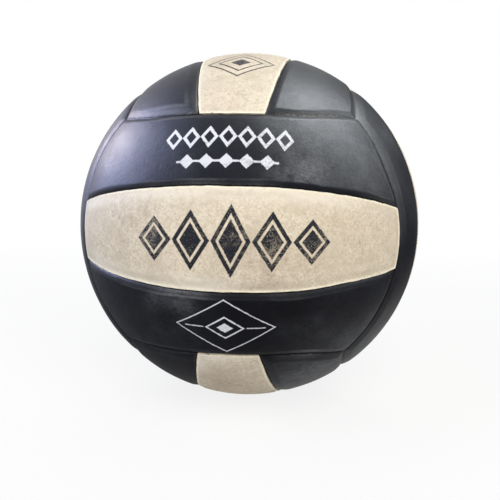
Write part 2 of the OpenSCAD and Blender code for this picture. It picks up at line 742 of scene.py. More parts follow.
@dataclass(frozen=True)
class Hide:
    """The patterns that a leather's colour, roughness and relief are worked out from.

    Attributes:
        surface: The material's bench.
        place: The place on the ball, in millimetres.
        grain: Height of the grain.
        seam: Distance from the nearest seam, in millimetres.
        skive: That distance as a share of the skived edge's width.
        patches: Patches as wide as a finger.
        middling: Mottling between those and the grain.
        fine: Mottling as fine as the grain.
        broken: Where the wear, with the painted sheen and shade that go with it, is a little stronger
            without a chosen place.
    """

    surface: Surface
    place: Wire
    grain: Wire
    seam: Wire
    skive: Wire
    patches: Wire
    middling: Wire
    fine: Wire
    broken: Wire

    @classmethod
    def of(cls, surface: Surface) -> Hide:
        """Lays the patterns out on a material's bench.

        Args:
            surface: The bench.

        Returns:
            The patterns.
        """
        place = surface.place()
        return cls(
            surface=surface,
            place=place,
            grain=cls.grain_of(surface, place),
            seam=surface.attribute(SEAM_ATTRIBUTE),
            skive=surface.attribute(SKIVE_ATTRIBUTE),
            patches=PATCHES.noise(surface, place),
            middling=MIDDLING.noise(surface, place),
            fine=FINE.noise(surface, place),
            broken=BROKEN.mask(surface, place),
        )

    @staticmethod
    def grain_of(surface: Surface, place: Wire) -> Wire:
        """Height of the grain: fine rounded cells, finer pits and a few shallow creases.

        Args:
            surface: The material's bench.
            place: The place on the ball, in millimetres.

        Returns:
            The height, from 0 to 1.
        """
        cells = surface.cells(place + surface.noise(place, 3.0) * 0.8, GRAIN_CELL, "SMOOTH_F1")
        pits = surface.noise(place, 0.6, detail=2.0, roughness=0.6)
        ridge = abs(surface.noise(place, 5.5, detail=3.0, roughness=0.55, warp=0.4) - 0.5)
        creases = surface.step(ridge, 0.0, 0.05)
        return (1.0 - cells) * 0.42 + pits * 0.43 + creases * 0.15

    def strength_of(self, scuffs_and_sheens: tuple[WearAndSheenPlace, ...], total: Wire) -> Wire:
        """Adds the strength of chosen places of wear, dust, painted sheen and painted light to a total.

        The back half of the ball takes the same places as the front half, half a turn round.

        Args:
            scuffs_and_sheens: The places.
            total: The total.

        Returns:
            The new total.
        """
        x, y, z = self.surface.split(self.place.math("NORMALIZE"))
        turn = y.math("SIGN") * -1.0
        direction = self.surface.join(x * turn, y * turn, z)
        for scuff in scuffs_and_sheens:
            centre = Vector(scuff.toward).normalized()
            share = self.surface.measure("DISTANCE", direction, centre[:]) * (BALL_RADIUS / scuff.reach)
            total = total + (share * share * -1.0).math("EXPONENT") * scuff.strength
        return total

    def scratches(self, place: Wire, lean: float) -> Wire:
        """Fine wandering scratches in a skin.

        Args:
            place: Where they are read, in millimetres.
            lean: Which way they run, as their rise along x.

        Returns:
            The mask, 1 on a scratch.
        """
        x, y, z = self.surface.split(place)
        drawn = self.surface.join((x + z * lean) * 0.3, y * 0.3, z - x * lean)
        ridge = abs(SCRATCHES.noise(self.surface, drawn) - 0.5)
        return self.surface.step(ridge, 0.022, 0.004)


@dataclass(frozen=True)
class Leather:
    """Dyed, fine-grained leather, handled and worn, with painted sheen, light and shade by its seams and in
    chosen places.

    Attributes:
        name: The finish's name.
        dye: The leather's own colour.
        shade: The colour of its darker mottling.
        tint: The colour of its other broad mottling.
        worn: The colour of edges and creases worn by rubbing; it also paints highlight and sheen on the
            black and light on the ivory.
        rim: The colour of the lip by the seam.
        dust: The colour of what lies in the seams.
        soil: The colour of smudges.
        soiling: How strong the smudges are.
        dustiness: How much of the seams holds dust.
        grime: How much of the leather by the seams is darkened.
        scuffed: The colour of scuffed leather, which on the black also paints sheen in chosen places.
        scuffing: How much of the whole surface is scuffed.
        roughness: Roughness of the surface.
        specular: Specular level of the surface.
        ink: The colour of the printed marks.
        ink_roughness: Roughness of the ink.
        ink_wear: How much of the ink is worn.
        mottling: How strong the fine mottling is.
        rim_width: How far the lip shows from the seam, in millimetres.
        rim_fade: How far its colour fades into the panel, in millimetres.
        grain_depth: Depth of the grain, in millimetres.
        waviness: Depth of the broader unevenness, as a share of the grain's.
        painted_fold_shade: How dark the painted shade is along the line where the skived edge begins.
        rub_and_sheen_reach: How far the band of rubbing and painted sheen reaches, as a share of the skived
            edge's width.
        crease_rub_and_highlight: How much the crease where the skived edge begins is worn and lit with
            painted highlight.
        clean_edge: How free of scuffing, with its painted sheen, the skived edges are.
        nick: The colour of small nicks and stains in the lip.
        nicking: How strong they are.
        scuffs_and_sheens: Where the panels are scuffed most; on the black several of these places are
            painted sheen.
        rubs_and_sheens: Where their skived edges are worn and lit with painted sheen; on the ivory these
            places are painted light.
        dusty: Where dust lies in their seams.
    """

    name: str
    dye: Colour
    shade: Colour
    tint: Colour
    worn: Colour
    rim: Colour
    dust: Colour
    soil: Colour
    soiling: float
    dustiness: float
    grime: float
    scuffed: Colour
    scuffing: float
    roughness: float
    specular: float
    ink: Colour
    ink_roughness: float
    ink_wear: float
    mottling: float
    rim_width: float = 0.55
    rim_fade: float = 0.2
    grain_depth: float = 0.07
    waviness: float = 0.6
    painted_fold_shade: float = 0.0
    rub_and_sheen_reach: float = 1.1
    crease_rub_and_highlight: float = 0.45
    clean_edge: float = 1.0
    nick: Colour = (0.01, 0.01, 0.01)
    nicking: float = 0.0
    scuffs_and_sheens: tuple[WearAndSheenPlace, ...] = ()
    rubs_and_sheens: tuple[WearAndSheenPlace, ...] = ()
    dusty: tuple[WearAndSheenPlace, ...] = ()

    def material(self, mark: Print = Print.NONE) -> bpy.types.Material:
        """Builds the material.

        Args:
            mark: The mark printed on it.

        Returns:
            The material.
        """
        surface = Surface(self.name + mark.suffix)
        hide = Hide.of(surface)
        # Scuffing holds painted sheen in some of the black's places; rubbing paints highlight, sheen and
        # light on edges.
        scuffing = self.scuffing_and_sheen_at(hide)
        rubbed_and_sheen = self.rubbed_and_sheen(hide)
        dust = self.dust_in_seams(hide)
        colour = self.mottled(hide, self.dyed(hide), scuffing)
        colour = self.soiled(hide, colour, scuffing)
        # The worn colour laid here is partly painted highlight and sheen, and painted light on the ivory.
        colour = surface.blend(colour, self.worn, rubbed_and_sheen)
        colour = self.shaded_by_seams(hide, colour, dust)
        colour = self.lipped(hide, colour, dust)
        rough = self.rough(hide, scuffing, rubbed_and_sheen, dust)
        if mark is not Print.NONE:
            ink = mark.mask(surface, hide.place) * self.ink_left(hide)
            colour = surface.blend(colour, self.ink, ink)
            rough = surface.lerp(rough, self.ink_roughness, ink)
        relief = hide.grain + WAVES.noise(surface, hide.place) * self.waviness
        return surface.finish(
            Base_Color=colour,
            Roughness=rough,
            Normal=surface.bump(relief, self.grain_depth),
            Specular_IOR_Level=self.specular,
        )

    def dyed(self, hide: Hide) -> Wire:
        """The dye, with its broad drift and its darker patches."""
        colour = hide.surface.blend(self.dye, self.tint, BROAD.mask(hide.surface, hide.place))
        return hide.surface.blend(colour, self.shade, hide.surface.step(hide.patches, 0.42, 0.72) * 0.7)

    def scuffing_and_sheen_at(self, hide: Hide) -> Wire:
        """How scuffed the leather is: chosen places, some of them painted sheen on the black, and a little
        all over.

        Args:
            hide: The leather's patterns.

        Returns:
            The share, 0 on clean skived edges.
        """
        surface = hide.surface
        total = SCUFFED_ALL_OVER.mask(surface, hide.place) * self.scuffing
        total = hide.strength_of(self.scuffs_and_sheens, total)
        x, y, z = surface.split(hide.place)
        hairs = HAIRS.noise(surface, surface.join(x * 0.4, y, z + x * 0.15))
        cloud = CLOUD.noise(surface, hide.place)
        off_the_edge = surface.lerp(1.0, surface.step(hide.skive, 0.8, 1.15), self.clean_edge)
        return total * surface.step(cloud * 0.6 + hairs * 0.4, 0.3, 0.7) * off_the_edge

    def mottled(self, hide: Hide, colour: Wire, scuffing: Wire) -> Wire:
        """Adds the fine mottling, stronger where scuffed, and the scuffed colour, in places painted sheen.

        Args:
            hide: The leather's patterns.
            colour: The colour so far.
            scuffing: How scuffed it is, with painted sheen in some places.

        Returns:
            The colour.
        """
        surface = hide.surface
        mottle = surface.step(hide.fine, 0.44, 0.64) * 0.6 + surface.step(hide.middling, 0.48, 0.68) * 0.35
        mottle = mottle + surface.step(hide.grain, 0.62, 0.42) * 0.35
        mottle = mottle * (scuffing * 1.6 + self.mottling)
        colour = surface.blend(colour, self.shade, mottle.math("MINIMUM", 1.0))
        return surface.blend(colour, self.scuffed, scuffing)

    def soiled(self, hide: Hide, colour: Wire, scuffing: Wire) -> Wire:
        """Adds smudges, blots where the leather is scuffed, and specks.

        Args:
            hide: The leather's patterns.
            colour: The colour so far.
            scuffing: How scuffed it is, with painted sheen in some places.

        Returns:
            The colour.
        """
        surface = hide.surface
        smudges = SMUDGES.mask(surface, hide.place) * self.soiling
        blots = BLOTS.mask(surface, hide.place) * scuffing * 1.2
        colour = surface.blend(colour, self.soil, (smudges + blots).math("MINIMUM", 0.8))
        specks = surface.step(surface.cells(hide.place, SPECK_SPACING), 0.1, 0.05)
        return surface.blend(colour, self.soil, specks * self.soiling)

    def rubbed_and_sheen(self, hide: Hide) -> Wire:
        """The share of rubbing at the crease of its skived edge and on the slope to the seam, which also
        paints highlight, sheen and light.

        Args:
            hide: The leather's patterns.

        Returns:
            The share.
        """
        surface = hide.surface
        strength = hide.strength_of(self.rubs_and_sheens, hide.broken * 0.12)
        # The crease line is partly painted highlight.
        crease = surface.step(abs(hide.skive - 1.0), 0.3, 0.04)
        slope = surface.step(hide.seam, 0.4, 1.1) * surface.step(hide.skive, self.rub_and_sheen_reach, 0.2)
        patchy = surface.step(hide.patches * 0.5 + hide.fine * 0.5, 0.36, 0.6) * 0.6 + 0.4
        return ((crease * self.crease_rub_and_highlight + slope * 0.6) * strength * patchy).math("MINIMUM", 0.8)

    def dust_in_seams(self, hide: Hide) -> Wire:
        """How much dust lies by the seams.

        Args:
            hide: The leather's patterns.

        Returns:
            The share.
        """
        surface = hide.surface
        strength = hide.strength_of(self.dusty, hide.broken * 0.08)
        crumbs = POWDER.mask(surface, hide.place) * surface.step(hide.middling, 0.36, 0.56)
        by_seam = surface.step(abs(hide.seam - 0.85), 0.7, 0.1)
        return (strength * by_seam * crumbs * self.dustiness).math("MINIMUM", 1.0)

    def shaded_by_seams(self, hide: Hide, colour: Wire, dust: Wire) -> Wire:
        """Adds the grime and the dust by the seams, and painted shade along the fold of the skived edge.

        Args:
            hide: The leather's patterns.
            colour: The colour so far.
            dust: How much dust there is.

        Returns:
            The colour.
        """
        surface = hide.surface
        grime = surface.step(hide.seam, 3.0, 0.6) * surface.step(hide.patches, 0.35, 0.7)
        colour = surface.blend(colour, self.shade, grime * self.grime)
        colour = surface.blend(colour, self.dust, dust)
        # Painted shade along the dip of the skived edge.
        fold = surface.step(abs(hide.skive - 0.6), 0.4, 0.05) * self.painted_fold_shade
        return surface.blend(colour, self.shade, fold * surface.step(hide.broken + hide.patches, 0.4, 1.0))

    def lipped(self, hide: Hide, colour: Wire, dust: Wire) -> Wire:
        """Adds the lip's own colour by the seam, with its nicks and stains.

        Args:
            hide: The leather's patterns.
            colour: The colour so far.
            dust: How much dust lies on it.

        Returns:
            The colour.
        """
        surface = hide.surface
        lip = ((self.rim_width - hide.seam) / self.rim_fade).math("MINIMUM", 0.0).math("EXPONENT")
        bared = surface.step(hide.middling * 0.6 + hide.patches * 0.4, 0.36, 0.6) * 0.5 + 0.4
        colour = surface.blend(colour, self.rim, lip * (1.0 - dust) * bared)
        nick = hide.seam + 3.05 - NICKS.noise(surface, hide.place) * 5.0
        return surface.blend(colour, self.nick, surface.step(nick, 0.2, 0.0) * self.nicking)

    def rough(self, hide: Hide, scuffing: Wire, rubbed_and_sheen: Wire, dust: Wire) -> Wire:
        """Roughness of the bare leather.

        Args:
            hide: The leather's patterns.
            scuffing: How scuffed it is, with painted sheen in some places.
            rubbed_and_sheen: The share of rubbing, with its painted sheen.
            dust: How much dust lies on it.

        Returns:
            The roughness.
        """
        rough = self.roughness + (hide.patches - 0.5) * 0.16 + (hide.fine - 0.5) * 0.1
        return rough + scuffing * 0.1 + rubbed_and_sheen * 0.08 + dust * 0.3 + (0.5 - hide.grain) * 0.08

    def ink_left(self, hide: Hide) -> Wire:
        """How much of the ink is left: it is scratched and cracked, and has come off in specks.

        Args:
            hide: The leather's patterns.

        Returns:
            The share.
        """
        surface = hide.surface
        zone = INK_LOSS.mask(surface, hide.place)
        specks = INK_SPECKS.noise(surface, hide.place)
        gone = surface.step(specks + zone * 0.06 + (0.5 - hide.grain) * 0.15, 0.59, 0.7)
        lines = hide.scratches(hide.place, 0.9)
        for lean in (-0.7, 0.15):
            lines = lines.math("MAXIMUM", hide.scratches(hide.place + (11.0, 3.0, 7.0), lean))
        return 1.0 - gone.math("MAXIMUM", lines * zone * 0.45) * self.ink_wear


@dataclass(frozen=True)
class Rubber:
    """Moulded rubber with a fine matt skin.

    Attributes:
        name: The finish's name.
        colour: Its colour.
        bloom: The pale bloom on it.
        roughness: Roughness of its skin.
        pore_size: Size of its pores, in millimetres.
        relief: Depth of its texture, in millimetres.
    """

    name: str
    colour: Colour
    bloom: Colour
    roughness: float
    pore_size: float = 0.5
    relief: float = 0.02

    def material(self) -> bpy.types.Material:
        """Builds the material.

        Returns:
            The material.
        """
        surface = Surface(self.name)
        place = surface.place()
        cloud = surface.noise(place, 6.0, detail=4.0, roughness=0.6)
        pores = surface.noise(place, self.pore_size, detail=2.0)
        colour = surface.blend(self.colour, self.bloom, surface.step(cloud, 0.4, 0.8) * 0.6)
        rough = self.roughness + (cloud - 0.5) * 0.2
        return surface.finish(
            Base_Color=colour,
            Roughness=rough,
            Normal=surface.bump(pores, self.relief),
            Specular_IOR_Level=0.4,
        )


@dataclass(frozen=True)
class Winding:
    """Nylon thread wound round a ball in crossing great circles, set in a little latex.

    Attributes:
        name: The finish's name.
        thread: Colour of the thread.
        latex: Colour of the latex between the threads.
        pitch: Distance between threads, in millimetres.
        ways: Directions that the thread circles in.
    """

    name: str
    thread: Colour
    latex: Colour
    pitch: float = 0.6
    ways: tuple[Direction, ...] = ((1.0, 0.2, 0.1), (-0.3, 1.0, 0.4), (0.2, -0.5, 1.0), (0.7, 0.8, -0.6))

    def material(self) -> bpy.types.Material:
        """Builds the material.

        Returns:
            The material.
        """
        surface = Surface(self.name)
        place = surface.place()
        height: Wire | None = None
        for way in self.ways:
            wander = surface.noise(place, 12.0) * 2.0
            turn = (surface.measure("DOT_PRODUCT", place, Vector(way).normalized()[:]) + wander) / self.pitch
            strand = (turn * math.tau).math("SINE") * 0.5 + 0.5
            height = strand if height is None else height.math("MAXIMUM", strand * 0.9)
        colour = surface.blend(self.latex, self.thread, surface.step(height, 0.55, 0.9))
        rough = 0.75 - height * 0.2
        return surface.finish(Base_Color=colour, Roughness=rough, Normal=surface.bump(height, 0.12))


# The seam layout


@dataclass(frozen=True)
class Seam:
    """A seam as the plane that it lies in, on a face whose strips lie along one axis.

    Attributes:
        lean: How far the plane leans out of square with the across axis, in radians.
        offset: How far it lies from the centre of the ball, in metres, negative below it.
    """

    lean: float
    offset: float


class Face(Enum):
    """A face of the ball: the axis along its strips, the axis across them and its side strips."""

    FRONT = ("front", (1.0, 0.0, 0.0), (0.0, 0.0, 1.0), "upper", "lower")
    BACK = ("back", (-1.0, 0.0, 0.0), (0.0, 0.0, 1.0), "upper", "lower")
    BOTTOM = ("bottom", (0.0, 1.0, 0.0), (1.0, 0.0, 0.0), "right", "left")
    TOP = ("top", (0.0, -1.0, 0.0), (1.0, 0.0, 0.0), "right", "left")
    LEFT = ("left", (0.0, 0.0, 1.0), (0.0, 1.0, 0.0), "back", "front")
    RIGHT = ("right", (0.0, 0.0, -1.0), (0.0, 1.0, 0.0), "back", "front")

    def __init__(self, label: str, along: Direction, across: Direction, high: str, low: str) -> None:
        """Names the parts of the value.

        Args:
            label: The face's name.
            along: The axis along its strips.
            across: The axis across them.
            high: Name of the strip on the positive side of that axis.
            low: Name of the strip on the other side.
        """
        self.label = label
        self.along = along
        self.across = across
        self.high = high
        self.low = low


class Strip(Enum):
    """A strip of a face: the one on the positive side, the middle one and the one on the other side."""

    HIGH = 1
    MIDDLE = 0
    LOW = -1

    def of(self, face: Face) -> str:
        """The strip's name on a face."""
        return {Strip.HIGH: face.high, Strip.MIDDLE: "middle", Strip.LOW: face.low}[self]


@dataclass(frozen=True)
class HandMark:
    """A place where the leather was laid a little off, or has sunk a little.

    Attributes:
        toward: Direction of the place from the centre of the ball.
        shift: How far the leather lies off its pattern there, in millimetres.
        sink: How far it has sunk, in millimetres.
        reach: How far the mark reaches, in millimetres.
    """

    toward: Direction
    shift: Direction = (0.0, 0.0, 0.0)
    sink: float = 0.0
    reach: float = 40.0


@dataclass(frozen=True)
class Skive:
    """How the edge of one panel differs from the usual skived edge.

    Attributes:
        width: Its width, as a share of the usual one.
        drop: How far it falls, as a share of the usual fall.
        lip: How far its lip turns down, as a share of the usual, negative where it curls up.
        lip_width: Width of that lip, as a share of the usual one.
    """

    width: float = 1.0
    drop: float = 1.0
    lip: float = 1.0
    lip_width: float = 1.0


@dataclass
class PanelTree:
    """The Geometry Nodes tree that cuts, lays and skives one leather panel.

    Attributes:
        marks: The places where the leather lies off or has sunk.
        steps_along: Vertices along a panel.
        steps_across: Vertices across a panel.
        steps_through: Vertices through its thickness.
        drifts: Scale and detail of the noises by which the leather drifts off its pattern.
        drift_reach: How strong they are, as a share of the ball's radius.
        swell: How far the leather's broad unevenness reaches.
        ripple: How far its finer unevenness reaches.
        slack: How far the leather lies below the ball's surface where it is even.
        skive_power: How sharply a skived edge breaks from the panel: 1 is a flat bevel.
        mitre: How closely two skived edges mitre where they meet.
        fold_angle: The angle past which an edge of the mesh is shaded sharp, in radians.
    """

    marks: tuple[HandMark, ...]
    steps_along: int = 124
    steps_across: int = 60
    steps_through: int = 3
    drifts: tuple[tuple[float, float], ...] = ((3.5, 2.0), (22.0, 1.0))
    drift_reach: float = 0.006
    swell: float = 0.5 * MM
    ripple: float = 0.09 * MM
    slack: float = 0.3 * MM
    skive_power: float = 1.2
    mitre: float = 5.0
    fold_angle: float = math.radians(48)
    tree: bpy.types.NodeTree = field(init=False)
    bench: Bench = field(init=False)
    given: bpy.types.Node = field(init=False)
    sockets: dict[str, str] = field(init=False, default_factory=dict)

    NUMBERS = (
        "Ball radius",
        "Panel thickness",
        "Face edge",
        "High lean",
        "High offset",
        "Low lean",
        "Low offset",
        "Seam gap",
        "Skive width",
        "Skive drop",
        "Puff depth",
        "Puff reach",
        "Lip drop",
        "Lip reach",
        "Deepest drop",
    )
    AXES = ("Along axis", "Across axis")

    def __post_init__(self) -> None:
        """Builds the tree."""
        self.tree = bpy.data.node_groups.new("cut_panel", "GeometryNodeTree")
        for name in self.NUMBERS:
            self.declare(name, "NodeSocketFloat")
        for name in self.AXES:
            self.declare(name, "NodeSocketVector")
        self.declare("Leather", "NodeSocketMaterial")
        self.tree.interface.new_socket("Panel", in_out="OUTPUT", socket_type="NodeSocketGeometry")
        self.bench = Bench(self.tree)
        self.given = self.bench.node("NodeGroupInput")
        u, v, w = self.blank_place()
        direction = self.laid_out(u, v)
        seams = self.seam_distances(direction)
        place = self.turned(direction)
        nearest = seams[0].math("MINIMUM", seams[1]).math("MINIMUM", seams[2])
        width = self.take("Skive width") * (0.75 + KNIFE.noise(self.bench, place) * 0.5)
        drop = self.edge_drop(seams, width) + self.lip_drop(nearest) + self.sink(place)
        drop = drop.math("MINIMUM", self.take("Deepest drop"))
        depth = self.bench.lerp(self.take("Panel thickness"), drop, w)
        position = self.laid(place) * (self.take("Ball radius") - depth)
        blank = self.noted(self.blank(), SEAM_ATTRIBUTE, nearest * (1 / MM))
        blank = self.noted(blank, SKIVE_ATTRIBUTE, nearest / width)
        self.close(self.bench.result("GeometryNodeSetPosition", inputs={0: blank, "Position": position}))

    def declare(self, name: str, kind: str) -> None:
        """Adds an input to the tree and notes its identifier."""
        socket = self.tree.interface.new_socket(name, in_out="INPUT", socket_type=kind)
        self.sockets[name] = socket.identifier

    def take(self, name: str) -> Wire:
        """An input of the tree."""
        return self.bench.wire(self.given, name)

    def blank(self) -> Wire:
        """Makes the blank that a panel is cut from, a flat block of vertices.

        Returns:
            The blank, as geometry.
        """
        inputs = {
            "Size": (2.0, 1.0, 1.0),
            "Vertices X": self.steps_along,
            "Vertices Y": self.steps_across,
            "Vertices Z": self.steps_through,
        }
        return self.bench.result("GeometryNodeMeshCube", inputs=inputs)

    def noted(self, geometry: Wire, name: str, value: Wire) -> Wire:
        """Notes a value on every vertex, as the materials read it.

        Args:
            geometry: The geometry.
            name: Name of the attribute.
            value: The value.

        Returns:
            The geometry with the attribute.
        """
        return self.bench.result(
            "GeometryNodeStoreNamedAttribute",
            {"data_type": "FLOAT", "domain": "POINT"},
            {"Geometry": geometry, "Name": name, "Value": value},
        )

    def blank_place(self) -> tuple[Wire, Wire, Wire]:
        """Where a vertex lies on the blank, with the vertices closer set near its edges.

        Returns:
            Its place from -1 to 1 along, from 0 to 1 across and from 0 to 1 through.
        """
        bench = self.bench
        x, y, z = bench.split(bench.result("GeometryNodeInputPosition"))
        along = bench.lerp(x, (x * (math.pi / 2)).math("SINE"), 0.8)
        across = bench.lerp(y, (y * math.pi).math("SINE") * 0.5, 0.85) + 0.5
        return along, across, z + 0.5

    def seam_arc(self, side: str, inward: float, u: Wire) -> tuple[Wire, Wire, Wire, Wire]:
        """Points along the seam on one side of the panel.

        Args:
            side: "High" or "Low".
            inward: Which way the gap lies, as a sign.
            u: Place along the panel.

        Returns:
            The point's place along, outward and across, and the end point's place across.
        """
        radius = self.take("Ball radius")
        gap = self.take("Seam gap")
        lean = self.take(f"{side} lean")
        offset = self.take(f"{side} offset") + gap * (inward / 2)
        end = self.take("Face edge") + gap * 0.5
        reach = (radius * radius - offset * offset) ** 0.5
        rise, run = lean.math("SINE"), lean.math("COSINE")
        end_cosine = (end + offset * rise) / (reach * run)
        turn = u * end_cosine.math("ARCCOSINE")
        along = reach * turn.math("SINE")
        level = reach * turn.math("COSINE")
        outward = level * run - offset * rise
        across = level * rise + offset * run
        return along, outward, across, reach * end_cosine * rise + offset * run

    def laid_out(self, u: Wire, v: Wire) -> Wire:
        """Direction of a point of the panel from the ball's centre, before it is turned to its face.

        The panel lies between two seam arcs, and its ends are drawn onto the circle round the face.

        Args:
            u: Place along the panel.
            v: Place across it.

        Returns:
            The direction, as its place along, outward and across.
        """
        bench = self.bench
        radius = self.take("Ball radius")
        end = self.take("Face edge") + self.take("Seam gap") * 0.5
        high = self.seam_arc("High", -1.0, u)
        low = self.seam_arc("Low", 1.0, u)
        end_reach = (radius * radius - end * end) ** 0.5
        high_angle = (high[3] / end_reach).math("ARCSINE")
        low_angle = (low[3] / end_reach).math("ARCSINE")
        angle = bench.lerp(low_angle, high_angle, v)
        straight = bench.lerp(low_angle.math("COSINE"), high_angle.math("COSINE"), v)
        bulge = (angle.math("COSINE") - straight) * end_reach
        slide = angle.math("SINE") * end_reach - bench.lerp(low[3], high[3], v)
        along = bench.lerp(low[0], high[0], v) + u * bulge
        outward = bench.lerp(low[1], high[1], v)
        across = bench.lerp(low[2], high[2], v) + slide
        return bench.join(along, outward, across).math("NORMALIZE")

    def seam_distances(self, direction: Wire) -> tuple[Wire, Wire, Wire]:
        """Distances over the ball from a point of the panel to the seams round it.

        Args:
            direction: The point's direction, before it is turned to its face.

        Returns:
            The distances to the high seam, the low seam and the circle round the face.
        """
        radius = self.take("Ball radius")
        _, outward, across = self.bench.split(direction)

        def to_side(side: str, sign: float) -> Wire:
            """Distance to the seam on one side.

            Args:
                side: "High" or "Low".
                sign: 1 for the high side, -1 for the low side.

            Returns:
                The distance.
            """
            lean = self.take(f"{side} lean")
            height = across * lean.math("COSINE") - outward * lean.math("SINE")
            seam = (self.take(f"{side} offset") / radius).math("ARCSINE")
            return (seam - height.math("ARCSINE")) * radius * sign

        end = (self.take("Face edge") / radius).math("ARCSINE")
        return to_side("High", 1.0), to_side("Low", -1.0), (outward.math("ARCSINE") - end) * radius

    def turned(self, direction: Wire) -> Wire:
        """A direction turned to the panel's own face.

        Args:
            direction: The direction, as its place along, outward and across.

        Returns:
            The direction from the ball's centre.
        """
        along_axis = self.take("Along axis")
        across_axis = self.take("Across axis")
        along, outward, across = self.bench.split(direction)
        out_axis = along_axis.math("CROSS_PRODUCT", across_axis)
        return along_axis * along + out_axis * outward + across_axis * across

    def falloff(self, mark: HandMark, place: Wire) -> Wire:
        """How strongly a mark is felt.

        Args:
            mark: The mark.
            place: Direction from the ball's centre.

        Returns:
            The strength, 1 at the mark's middle.
        """
        centre = Vector(mark.toward).normalized()
        distance = self.bench.measure("DISTANCE", place, centre[:]) * self.take("Ball radius")
        share = distance / (mark.reach * MM)
        return (share * share * -1.0).math("EXPONENT")

    def shift(self, mark: HandMark, place: Wire) -> Wire:
        """How far a mark shifts the leather at a place, as a share of the ball's radius."""
        share = self.falloff(mark, place) * MM / self.take("Ball radius")
        return self.bench.join(*mark.shift) * share

    def drift(self, place: Wire, scale: float, detail: float) -> Wire:
        """How far the leather drifts off its pattern by one noise.

        Args:
            place: Direction from the ball's centre.
            scale: Scale of the noise.
            detail: How many finer layers it has.

        Returns:
            The shift, as a share of the ball's radius.
        """
        inputs = {"Vector": place, "Scale": scale, "Detail": detail}
        noise = self.bench.wire(self.bench.node("ShaderNodeTexNoise", inputs=inputs), "Color")
        return noise.math("SUBTRACT", (0.5, 0.5, 0.5)) * self.drift_reach

    def laid(self, place: Wire) -> Wire:
        """Lays the leather as a hand does, a little off its pattern.

        Args:
            place: Direction from the ball's centre.

        Returns:
            The direction after the shift.
        """
        shifts = [self.drift(place, scale, detail) for scale, detail in self.drifts]
        shifts += [self.shift(mark, place) for mark in self.marks if any(mark.shift)]
        return (place + sum(shifts[1:], shifts[0])).math("NORMALIZE")

    def sink(self, place: Wire) -> Wire:
        """How far the leather has sunk, as it is never quite even.

        Args:
            place: Direction from the ball's centre.

        Returns:
            The depth.
        """
        swell = (SWELL.noise(self.bench, place) - 0.5) * self.swell
        ripple = (RIPPLE.noise(self.bench, place) - 0.5) * self.ripple
        depth = swell + ripple + self.slack
        for mark in self.marks:
            if mark.sink:
                depth = depth + self.falloff(mark, place) * (mark.sink * MM)
        return depth.math("MAXIMUM", 0.0)

    def edge_drop(self, seams: tuple[Wire, Wire, Wire], width: Wire) -> Wire:
        """How far the leather lies below the ball's surface by its seams.

        The skived edge falls to the seam, and the panel round it is softly crowned.

        Args:
            seams: Distances to the seams.
            width: Width of the skived edge.

        Returns:
            The depth.
        """
        sharpness = self.skive_power * self.mitre
        skives = [(1.0 - seam / width).math("MAXIMUM", 0.0) ** sharpness for seam in seams]
        puffs = [(seam * -self.mitre / self.take("Puff reach")).math("EXPONENT") for seam in seams]
        return self.mitred(skives) * self.take("Skive drop") + self.mitred(puffs) * self.take("Puff depth")

    def mitred(self, falls: list[Wire]) -> Wire:
        """The steepest of falls already raised to the mitre's power, rounded where two meet."""
        return (sum(falls[1:], falls[0]) ** (1 / self.mitre)).math("MINIMUM", 1.0)

    def lip_drop(self, nearest: Wire) -> Wire:
        """How far the lip turns down further, at a distance from the nearest seam."""
        share = nearest.math("MAXIMUM", 0.0) / self.take("Lip reach")
        return (share * share * -1.0).math("EXPONENT") * self.take("Lip drop")

    def close(self, shape: Wire) -> None:
        """Shades the panel smooth but for its cut edges, sets its material and ends the tree.

        Args:
            shape: The panel, as geometry.
        """
        bench = self.bench
        shading, whole = "GeometryNodeSetShadeSmooth", {0: shape, "Shade Smooth": True}
        smooth = bench.result(shading, {"domain": "FACE"}, whole)
        fold = bench.wire(bench.node("GeometryNodeInputMeshEdgeAngle"), "Unsigned Angle")
        compare = {"data_type": "FLOAT", "operation": "GREATER_THAN"}
        cut = bench.result("FunctionNodeCompare", compare, {0: fold, 1: self.fold_angle})
        sharp = {0: smooth, "Selection": cut, "Shade Smooth": False}
        creased = bench.result(shading, {"domain": "EDGE"}, sharp)
        real = bench.result("GeometryNodeRealizeInstances", inputs={0: creased})
        leather = self.take("Leather")
        dressed = bench.result("GeometryNodeSetMaterial", inputs={0: real, "Material": leather})
        bench.node("NodeGroupOutput", inputs={0: dressed})

    def cut(self, name: str, values: dict[str, Any]) -> bpy.types.Object:
        """Makes one panel as a plain mesh.

        Args:
            name: Name of the piece.
            values: The tree's inputs by name.

        Returns:
            The piece.
        """
        piece = bpy.data.objects.new(name, bpy.data.meshes.new(name))
        bpy.context.scene.collection.objects.link(piece)
        modifier = piece.modifiers.new("cut", "NODES")
        modifier.node_group = self.tree
        for key, value in values.items():
            modifier[self.sockets[key]] = value
        settle(piece)
        return piece


def settle(piece: bpy.types.Object) -> None:
    """Turns a piece's modifiers into its plain mesh.

    Args:
        piece: The piece.
    """
    bpy.context.view_layer.update()
    graph = bpy.context.evaluated_depsgraph_get()
    mesh = bpy.data.meshes.new_from_object(
        piece.evaluated_get(graph), preserve_all_data_layers=True, depsgraph=graph
    )
    mesh.name = piece.name
    piece.modifiers.clear()
    piece.data = mesh


